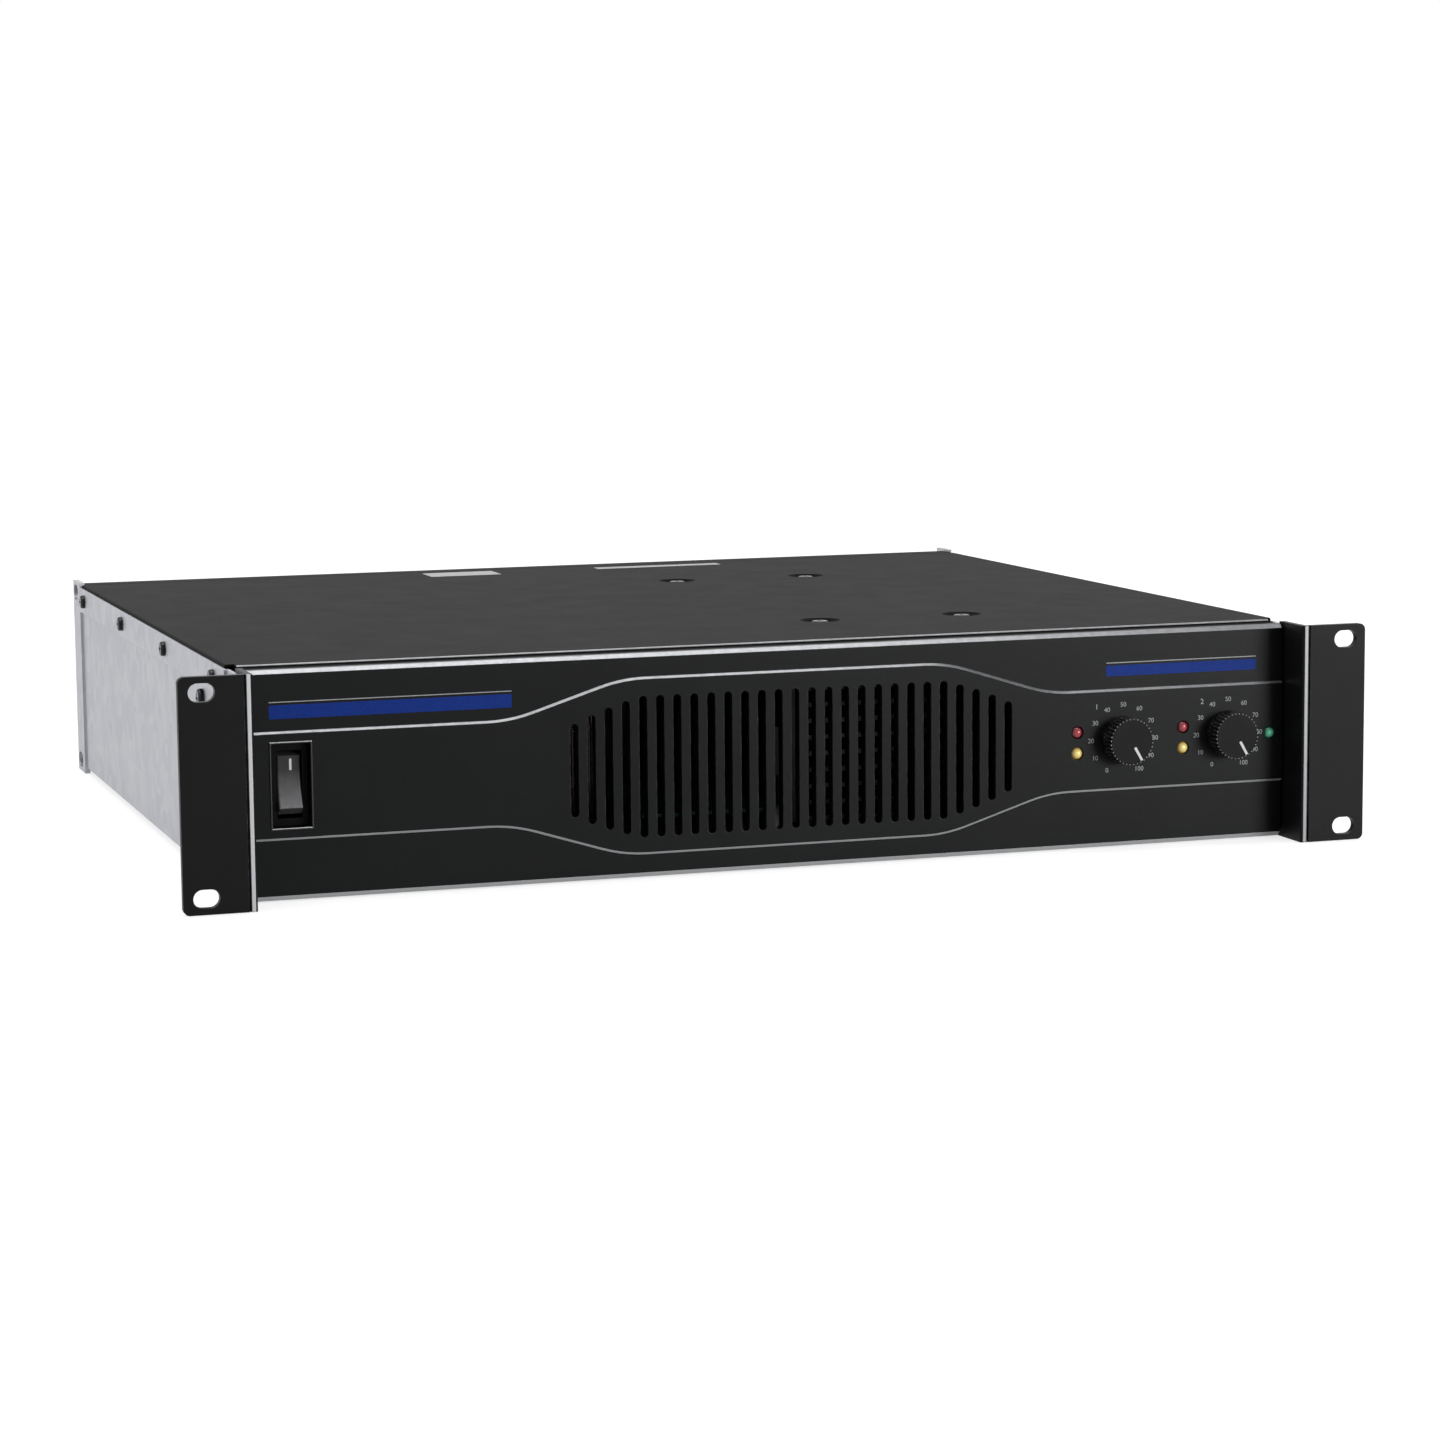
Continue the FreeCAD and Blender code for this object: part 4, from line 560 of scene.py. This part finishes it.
def plateMesh(width, height, thickness, corner, steps=5):
    # Flat plate with round corners, lying in XY with its thickness along Z
    shape = bmesh.new()
    outline = []
    for cornerX, cornerY, start in ((1, 1, 0), (-1, 1, 90), (-1, -1, 180), (1, -1, 270)):
        for step in range(steps + 1):
            angle = math.radians(start + 90 * step / steps)
            outline.append((cornerX * (width / 2 - corner) + corner * math.cos(angle),
                            cornerY * (height / 2 - corner) + corner * math.sin(angle)))
    low = [shape.verts.new((x, y, -thickness / 2)) for x, y in outline]
    high = [shape.verts.new((x, y, thickness / 2)) for x, y in outline]
    shape.faces.new(high)
    shape.faces.new(low[::-1])
    count = len(outline)
    for index in range(count):
        following = (index + 1) % count
        shape.faces.new((low[index], low[following], high[following], high[index]))
    mesh = bpy.data.meshes.new("plate")
    shape.to_mesh(mesh)
    shape.free()
    return mesh


plateauRise = 1.0 * mm
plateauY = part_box("front_panel")[0].y
frontY = plateauY + plateauRise
knobPlaces = {}  # middle of each knob across and up, and its front face
for channel in (1, 2):
    low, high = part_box("gain_knob_%d" % channel)
    knobPlaces[channel] = ((low.x + high.x) / 2, (low.z + high.z) / 2, low.y)

dialPrint = {"radius": 14.1 * mm, "digit": 1.9 * mm, "ink": 0.06 * mm, "first": 210, "step": 30, "last": 10,
             "channelX": -11.6 * mm, "channelZ": 13.6 * mm, "channelDigit": 2.2 * mm}


def dialMeshes(channel):
    x, z, _ = knobPlaces[channel]
    meshes = []
    for number in range(dialPrint["last"] + 1):
        angle = math.radians(dialPrint["first"] + dialPrint["step"] * number)
        digits = textMesh(str(10 * number), dialPrint["digit"], dialPrint["ink"])
        meshes.append(onFront(digits, x + dialPrint["radius"] * math.sin(angle), plateauY,
                              z + dialPrint["radius"] * math.cos(angle)))
    name = textMesh(str(channel), dialPrint["channelDigit"], dialPrint["ink"])
    meshes.append(onFront(name, x + dialPrint["channelX"], plateauY, z + dialPrint["channelZ"]))
    return meshes


dialNumbers = meshObject("dialNumbers", joinMeshes("dialNumbers", dialMeshes(1) + dialMeshes(2)), inkGrey)
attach(dialNumbers, "chassis")

stripes = {"left": (-204.5 * mm, -111.2 * mm, 68.9 * mm, 74.1 * mm),  # x from and to, z from and to
           "right": (134.8 * mm, 201.0 * mm, 69.4 * mm, 73.7 * mm), "ink": 0.06 * mm, "corner": 0.5 * mm,
           "rule": 0.35 * mm, "ruleGap": 1.1 * mm, "ruleCorner": 0.15 * mm}


def stripeMeshes():
    bands, rules = [], []
    for side in ("left", "right"):
        x0, x1, z0, z1 = stripes[side]
        middle = (x0 + x1) / 2
        band = plateMesh(x1 - x0, z1 - z0, stripes["ink"], stripes["corner"])
        bands.append(onFront(band, middle, frontY, (z0 + z1) / 2))
        rule = plateMesh(x1 - x0, stripes["rule"], stripes["ink"], stripes["ruleCorner"])
        rules.append(onFront(rule, middle, frontY, z1 + stripes["ruleGap"]))
    return bands, rules


bands, rules = stripeMeshes()
blueBands = meshObject("blueBands", joinMeshes("blueBands", bands), inkBlue)
paleRules = meshObject("paleRules", joinMeshes("paleRules", rules), inkGrey)
for piece in (blueBands, paleRules):
    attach(piece, "chassis")

pointer = {"from": 2.6 * mm, "to": 8.7 * mm, "width": 1.05 * mm, "corner": 0.3 * mm, "proud": 0.16 * mm,
           "angle": 150}
for channel in (1, 2):
    x, z, faceY = knobPlaces[channel]
    middle = (pointer["from"] + pointer["to"]) / 2
    bar = plateMesh(pointer["width"], pointer["to"] - pointer["from"], pointer["proud"], pointer["corner"])
    bar.transform(Matrix.Translation((0, middle, 0)))
    bar.transform(Matrix.Rotation(math.radians(-pointer["angle"]), 4, "Z"))
    onFront(bar, x, faceY, z)
    line = meshObject("pointerLine_%d" % channel, bar, inkWhite)
    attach(line, "gain_knob_%d" % channel)


def newTree(name, sizes):
    # A Geometry Nodes tree with its named inputs
    tree = bpy.data.node_groups.new(name, "GeometryNodeTree")
    for label, kind, value in sizes:
        socket = tree.interface.new_socket(name=label, in_out="INPUT", socket_type=kind)
        if value is not None:
            socket.default_value = value
    tree.interface.new_socket(name="Geometry", in_out="OUTPUT", socket_type="NodeSocketGeometry")
    return tree, tree.nodes.new("NodeGroupInput").outputs


def finishTree(tree, geometry):
    # Realize and give the finish, as the last two steps
    real = addNode(tree, "GeometryNodeRealizeInstances", {"Geometry": geometry}).outputs["Geometry"]
    finish = tree.nodes["Group Input"].outputs["Finish"]
    done = addNode(tree, "GeometryNodeSetMaterial", {"Geometry": real, "Material": finish})
    tree.links.new(done.outputs["Geometry"], tree.nodes.new("NodeGroupOutput").inputs["Geometry"])


def grow(name, tree, values, material, place):
    # Run the tree once, keep its result as a plain mesh and put it in place
    host = bpy.data.objects.new(name + "Host", bpy.data.meshes.new(name + "Host"))
    bpy.context.scene.collection.objects.link(host)
    modifier = host.modifiers.new("grow", "NODES")
    modifier.node_group = tree
    values = dict(values, Finish=material)
    for item in tree.interface.items_tree:
        if item.in_out == "INPUT" and item.name in values:
            modifier[item.identifier] = values[item.name]
    graph = bpy.context.evaluated_depsgraph_get()
    mesh = bpy.data.meshes.new_from_object(host.evaluated_get(graph))
    bpy.data.objects.remove(host)
    mesh.transform(place)
    return meshObject(name, mesh, material)


def ribTree():
    # Small rods round a ring, narrower at both ends
    tree, given = newTree("knobRibTree", [
        ("Ring Radius", "NodeSocketFloat", 0.009), ("Ribs", "NodeSocketInt", 36),
        ("Rib Radius", "NodeSocketFloat", 0.0004), ("Length", "NodeSocketFloat", 0.006),
        ("Finish", "NodeSocketMaterial", None)])
    ring = addNode(tree, "GeometryNodeMeshCircle", {
        "Vertices": given["Ribs"], "Radius": given["Ring Radius"]})
    rod = addNode(tree, "GeometryNodeMeshCylinder", {
        "Vertices": 8, "Side Segments": 3, "Radius": given["Rib Radius"], "Depth": given["Length"]})
    along = addNode(tree, "GeometryNodeInputPosition").outputs["Position"]
    height = addNode(tree, "ShaderNodeSeparateXYZ", {"Vector": along}).outputs["Z"]
    nearEnd = multiplied(tree, multiplied(tree, given["Length"], 0.5), 0.9)
    ends = addNode(tree, "FunctionNodeCompare", {"A": sizeOf(tree, height), "B": nearEnd},
                   operation="GREATER_THAN")
    taper = addNode(tree, "ShaderNodeVectorMath", {0: along, 1: (0.55, 0.55, 1.0)}, operation="MULTIPLY")
    rounded = addNode(tree, "GeometryNodeSetPosition", {
        "Geometry": rod.outputs["Mesh"], "Selection": ends.outputs["Result"],
        "Position": taper.outputs["Vector"]})
    ribs = addNode(tree, "GeometryNodeInstanceOnPoints", {
        "Points": ring.outputs["Mesh"], "Instance": rounded.outputs["Geometry"]})
    finishTree(tree, ribs.outputs["Instances"])
    return tree


ribSizes = {"count": 36, "radius": 0.42 * mm, "inset": 0.42 * mm, "front": 0.02 * mm, "length": 6.7 * mm}
knobRibs = ribTree()
for channel in (1, 2):
    x, z, faceY = knobPlaces[channel]
    knobLow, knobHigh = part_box("gain_knob_%d" % channel)
    values = {"Ring Radius": (knobHigh.x - knobLow.x) / 2 - ribSizes["inset"], "Ribs": ribSizes["count"],
              "Rib Radius": ribSizes["radius"], "Length": ribSizes["length"]}
    turn = Matrix.Rotation(math.radians(90), 4, "X") @ Matrix.Rotation(math.pi / ribSizes["count"], 4, "Z")
    place = Matrix.Translation((x, faceY + ribSizes["front"] + ribSizes["length"] / 2, z)) @ turn
    ribs = grow("knobRibs_%d" % channel, knobRibs, values, ribPlastic, place)
    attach(ribs, "gain_knob_%d" % channel)


def windingTree():
    # A rounded core and the tape turns that wrap it, each a loop round the ring
    tree, given = newTree("windingTree", [
        ("Ring Radius", "NodeSocketFloat", 0.049), ("Turns", "NodeSocketInt", 110),
        ("Width", "NodeSocketFloat", 0.05), ("Height", "NodeSocketFloat", 0.058),
        ("Corner", "NodeSocketFloat", 0.011), ("Tape", "NodeSocketFloat", 0.0009),
        ("Finish", "NodeSocketMaterial", None)])
    section = addNode(tree, "GeometryNodeCurvePrimitiveQuadrilateral", {
        "Width": given["Width"], "Height": given["Height"]})
    fillet = addNode(tree, "GeometryNodeFilletCurve", {
        "Curve": section.outputs["Curve"], "Count": 5, "Radius": given["Corner"], "Limit Radius": True},
        mode="POLY")
    around = addNode(tree, "GeometryNodeCurvePrimitiveCircle", {
        "Resolution": 96, "Radius": given["Ring Radius"]}, mode="RADIUS")
    core = addNode(tree, "GeometryNodeCurveToMesh", {
        "Curve": around.outputs["Curve"], "Profile Curve": fillet.outputs["Curve"]})
    strand = addNode(tree, "GeometryNodeCurvePrimitiveCircle", {
        "Resolution": 6, "Radius": given["Tape"]}, mode="RADIUS")
    wrap = addNode(tree, "GeometryNodeCurveToMesh", {
        "Curve": fillet.outputs["Curve"], "Profile Curve": strand.outputs["Curve"]})
    spots = addNode(tree, "GeometryNodeCurveToPoints", {
        "Curve": around.outputs["Curve"], "Count": given["Turns"]}, mode="COUNT")
    wraps = addNode(tree, "GeometryNodeInstanceOnPoints", {
        "Points": spots.outputs["Points"], "Instance": wrap.outputs["Mesh"],
        "Rotation": spots.outputs["Rotation"]})
    joined = addNode(tree, "GeometryNodeJoinGeometry")
    for part in (core.outputs["Mesh"], wraps.outputs["Instances"]):
        tree.links.new(part, joined.inputs["Geometry"])
    finishTree(tree, joined.outputs["Geometry"])
    return tree


winding = {"hole": 22 * mm, "tape": 0.9 * mm, "corner": 11 * mm, "turns": 132}
ringLow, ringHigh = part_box("toroid_transformer")
ringMiddle = (ringLow + ringHigh) / 2
outer = (ringHigh.x - ringLow.x) / 2
windingValues = {"Ring Radius": (outer + winding["hole"]) / 2, "Turns": winding["turns"],
                 "Width": outer - winding["hole"] - 2 * winding["tape"],
                 "Height": ringHigh.z - ringLow.z - 2 * winding["tape"], "Corner": winding["corner"],
                 "Tape": winding["tape"]}
toroidWinding = grow("toroidWinding", windingTree(), windingValues, finishes["winding_film"],
                     Matrix.Translation(ringMiddle))
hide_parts("toroid_transformer")
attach(toroidWinding, "chassis")
print("ribs and winding made")


switchRim = {"halfWidth": 7.45 * mm, "halfHeight": 15.9 * mm, "wide": 0.7 * mm, "proud": 0.5 * mm,
             "sunk": 0.2 * mm, "shoulder": 0.6, "crown": (0.7, 0.3)}


def rimMesh(middle, settings):
    # Thin raised frame round the switch, open in the middle
    x0, x1 = middle.x - settings["halfWidth"], middle.x + settings["halfWidth"]
    z0, z1 = middle.z - settings["halfHeight"], middle.z + settings["halfHeight"]
    wide, proud, sunk = settings["wide"], settings["proud"], settings["sunk"]
    shoulder = proud * settings["shoulder"]
    outer, inner = (wide * share for share in settings["crown"])
    section = ((wide, sunk), (wide, -shoulder), (outer, -proud), (inner, -proud), (0, -shoulder), (0, sunk))
    shape = bmesh.new()
    rings = []
    for out, y in section:
        corners = ((x0 - out, z0 - out), (x1 + out, z0 - out), (x1 + out, z1 + out), (x0 - out, z1 + out))
        rings.append([shape.verts.new((x, plateauY + y, z)) for x, z in corners])
    rings.append(rings[0])
    for near, far in zip(rings, rings[1:]):
        for index in range(4):
            following = (index + 1) % 4
            shape.faces.new((near[index], near[following], far[following], far[index]))
    bmesh.ops.recalc_face_normals(shape, faces=shape.faces)
    mesh = bpy.data.meshes.new("switchRim")
    shape.to_mesh(mesh)
    shape.free()
    return mesh


bodyLow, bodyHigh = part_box("power_switch_body")
switchTrim = meshObject("switchTrim", rimMesh((bodyLow + bodyHigh) / 2, switchRim), rimPlastic)
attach(switchTrim, "chassis")

rockerMark = {"x": 0.7 * mm, "low": 4.9 * mm, "high": 9.2 * mm, "width": 0.9 * mm, "rows": 8,
              "proud": 0.05 * mm, "ahead": 10 * mm}


def drapedBar(node, middle, settings):
    # A printed bar that follows the face of a node, found by looking along +Y
    x, lowZ, highZ = middle.x + settings["x"], middle.z + settings["low"], middle.z + settings["high"]
    tree = BVHTree.FromObject(frame["nodes"][node], bpy.context.evaluated_depsgraph_get())
    shape = bmesh.new()
    front, back = [], []
    for row in range(settings["rows"] + 1):
        z = lowZ + (highZ - lowZ) * row / settings["rows"]
        for side in (-0.5, 0.5):
            start = Vector((x + side * settings["width"], cadLow.y - settings["ahead"], z))
            spot = tree.ray_cast(start, Vector((0, 1, 0)))[0]
            front.append(shape.verts.new(spot - Vector((0, settings["proud"], 0))))
            back.append(shape.verts.new(spot + Vector((0, settings["proud"], 0))))
    for row in range(settings["rows"]):
        a, b, c, d = 2 * row, 2 * row + 1, 2 * row + 3, 2 * row + 2
        shape.faces.new((front[a], front[b], front[c], front[d]))
        shape.faces.new((back[d], back[c], back[b], back[a]))
        shape.faces.new((back[a], front[a], front[d], back[d]))
        shape.faces.new((front[b], back[b], back[c], front[c]))
    shape.faces.new((back[0], back[1], front[1], front[0]))
    shape.faces.new((front[-2], front[-1], back[-1], back[-2]))
    bmesh.ops.recalc_face_normals(shape, faces=shape.faces)
    mesh = bpy.data.meshes.new("drapedBar")
    shape.to_mesh(mesh)
    shape.free()
    return mesh


rockerLow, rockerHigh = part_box("power_rocker")
onBar = drapedBar("power_rocker", (rockerLow + rockerHigh) / 2, rockerMark)
onMark = meshObject("onMark", onBar, inkWhite)
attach(onMark, "power_rocker")
print("front marks made")


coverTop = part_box("top_cover")[1].z
labels = {"serial": (-57 * mm, -23 * mm, 157 * mm, 176 * mm),  # x from and to, y from and to
          "long": (27 * mm, 89 * mm, 165 * mm, 173 * mm), "thickness": 0.08 * mm, "corner": 0.8 * mm}


def labelMeshes():
    # Blank labels that lie on the cover
    meshes = []
    for key in ("serial", "long"):
        x0, x1, y0, y1 = labels[key]
        mesh = plateMesh(x1 - x0, y1 - y0, labels["thickness"], labels["corner"])
        mesh.transform(Matrix.Translation(((x0 + x1) / 2, (y0 + y1) / 2, coverTop)))
        meshes.append(mesh)
    return meshes


rearMarks = {"size": 4.2 * mm, "ink": 0.06 * mm, "places": (126 * mm, -102 * mm), "drop": 11 * mm}
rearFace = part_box("rear_panel")[1].y


def onRear(mesh, x, y, z):
    # Turn flat print to face the back
    turn = Matrix.Rotation(math.pi, 4, "Z") @ Matrix.Rotation(math.pi / 2, 4, "X")
    mesh.transform(Matrix.Translation((x, y, z)) @ turn)
    return mesh


def rearDigits():
    # Channel numbers on the rear panel
    digits = []
    for channel in (1, 2):
        low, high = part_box("xlr_latch_%d" % channel)
        for x in rearMarks["places"]:
            digit = textMesh(str(channel), rearMarks["size"], rearMarks["ink"])
            digits.append(onRear(digit, x, rearFace, (low.z + high.z) / 2 - rearMarks["drop"]))
    return digits


rearNumbers = meshObject("rearNumbers", joinMeshes("rearNumbers", rearDigits()), inkWhite)
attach(rearNumbers, "chassis")

blankLabels = meshObject("blankLabels", joinMeshes("blankLabels", labelMeshes()), labelPaper)
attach(blankLabels, "chassis")
print("rear numbers and cover labels made")


view = {"place": (-0.4729, -1.5227, 0.2441), "azimuth": 18.380, "elevation": 7.436, "roll": -0.509,
        "lens": 92.04}


def makeCamera():
    data = bpy.data.cameras.new("camera")
    data.lens = view["lens"]
    data.sensor_width = 36
    data.clip_start, data.clip_end = 0.05, 50
    camera = bpy.data.objects.new("camera", data)
    azimuth, elevation, roll = (math.radians(view[key]) for key in ("azimuth", "elevation", "roll"))
    forward = Vector((math.sin(azimuth) * math.cos(elevation), math.cos(azimuth) * math.cos(elevation),
                      -math.sin(elevation)))
    right = Vector((math.cos(azimuth), -math.sin(azimuth), 0))
    up = right.cross(forward)
    turnedRight = math.cos(roll) * right + math.sin(roll) * up
    turnedUp = -math.sin(roll) * right + math.cos(roll) * up
    turn = Matrix((turnedRight, turnedUp, -forward)).transposed().to_4x4()
    camera.matrix_world = Matrix.Translation(view["place"]) @ turn
    bpy.context.scene.collection.objects.link(camera)
    bpy.context.scene.camera = camera


def makeFloor():
    # A pale floor that keeps the shadow near the object and goes to white further out
    settings = {"half": 14.0, "below": 0.2 * mm, "colour": srgb(176, 176, 176), "roughness": 0.9,
                "glowFrom": 0.72, "glowOver": 0.4, "nearGlow": 0.6, "farGlow": 2.5}
    half = settings["half"]
    mesh = bpy.data.meshes.new("studioFloor")
    corners = [(-half, -half, 0), (half, -half, 0), (half, half, 0), (-half, half, 0)]
    mesh.from_pydata(corners, [], [(0, 1, 2, 3)])
    mesh.transform(Matrix.Translation((0, 0, cadLow.z - settings["below"])))
    material, tree, shader, place = startMaterial("paleFloor")
    shader.inputs["Base Color"].default_value = settings["colour"]
    shader.inputs["Roughness"].default_value = settings["roughness"]
    shader.inputs["Specular IOR Level"].default_value = 0.0
    shader.inputs["Emission Color"].default_value = (1, 1, 1, 1)
    away = addNode(tree, "ShaderNodeVectorMath", {0: place}, operation="LENGTH").outputs["Value"]
    glow = ranged(tree, away, settings["glowFrom"], settings["glowFrom"] + settings["glowOver"],
                  settings["nearGlow"], settings["farGlow"])
    tree.links.new(multiplied(tree, seenDirectly(tree), glow), shader.inputs["Emission Strength"])
    meshObject("studioFloor", mesh, material)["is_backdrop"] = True


def makeWorld():
    # Even light all round, a little lower at the horizon, in front and to the left
    settings = {"fill": 0.36, "frontLeft": 0.16, "sideways": 0.8, "turn": (-0.7, 0.3), "horizon": 0.35,
                "rise": (0.05, 0.6), "backdrop": 1.0}
    world = bpy.data.worlds.new("studio")
    world.use_nodes = True
    tree = world.node_tree
    background = tree.nodes["Background"]
    background.inputs["Color"].default_value = (1, 1, 1, 1)
    direction = addNode(tree, "ShaderNodeTexCoord").outputs["Generated"]
    parts = addNode(tree, "ShaderNodeSeparateXYZ", {"Vector": direction}).outputs
    sideways = multiplied(tree, parts["X"], settings["sideways"])
    lean = addNode(tree, "ShaderNodeMath", {0: sideways, 1: parts["Y"]}, operation="ADD").outputs[0]
    fill = ranged(tree, lean, settings["frontLeft"], settings["fill"], *settings["turn"])
    rise = ranged(tree, sizeOf(tree, parts["Z"]), settings["horizon"], 1.0, *settings["rise"])
    fill = multiplied(tree, fill, rise)
    strength = addNode(tree, "ShaderNodeMix", {0: seenDirectly(tree), 2: fill, 3: settings["backdrop"]})
    tree.links.new(strength.outputs[0], background.inputs["Strength"])
    bpy.context.scene.world = world


softboxes = {
    "overheadBox": {"place": (0.0, -0.1, 1.9), "target": (0, -0.1, 0.04), "size": (1.8, 0.9), "power": 26},
    "leftBox": {"place": (-2.2, 0.5, 1.0), "target": (-0.2, 0, 0.04), "size": (1.4, 1.2), "power": 14},
    "backBox": {"place": (0.3, 1.05, 0.4), "target": (0.1, 0.15, 0.08), "size": (1.3, 0.35), "power": 0.6},
    "rightFrontBox": {"place": (1.52, -2.38, 0.4), "target": (0.15, -0.2, 0.04), "size": (1.0, 0.9),
                      "power": 60},
}


def softbox(name, place, target, size, power):
    # A soft rectangular lamp that looks at its target and isn't seen itself
    data = bpy.data.lights.new(name, "AREA")
    data.shape = "RECTANGLE"
    data.size, data.size_y = size
    data.energy = power
    lamp = bpy.data.objects.new(name, data)
    lamp.location = place
    lamp.rotation_euler = (Vector(target) - Vector(place)).to_track_quat("-Z", "Y").to_euler()
    lamp.visible_camera = False
    bpy.context.scene.collection.objects.link(lamp)


makeCamera()
makeFloor()
makeWorld()
for name, lampSettings in softboxes.items():
    softbox(name, **lampSettings)
bpy.context.scene.view_settings.view_transform = "Standard"
print("camera, floor and light set")

low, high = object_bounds()
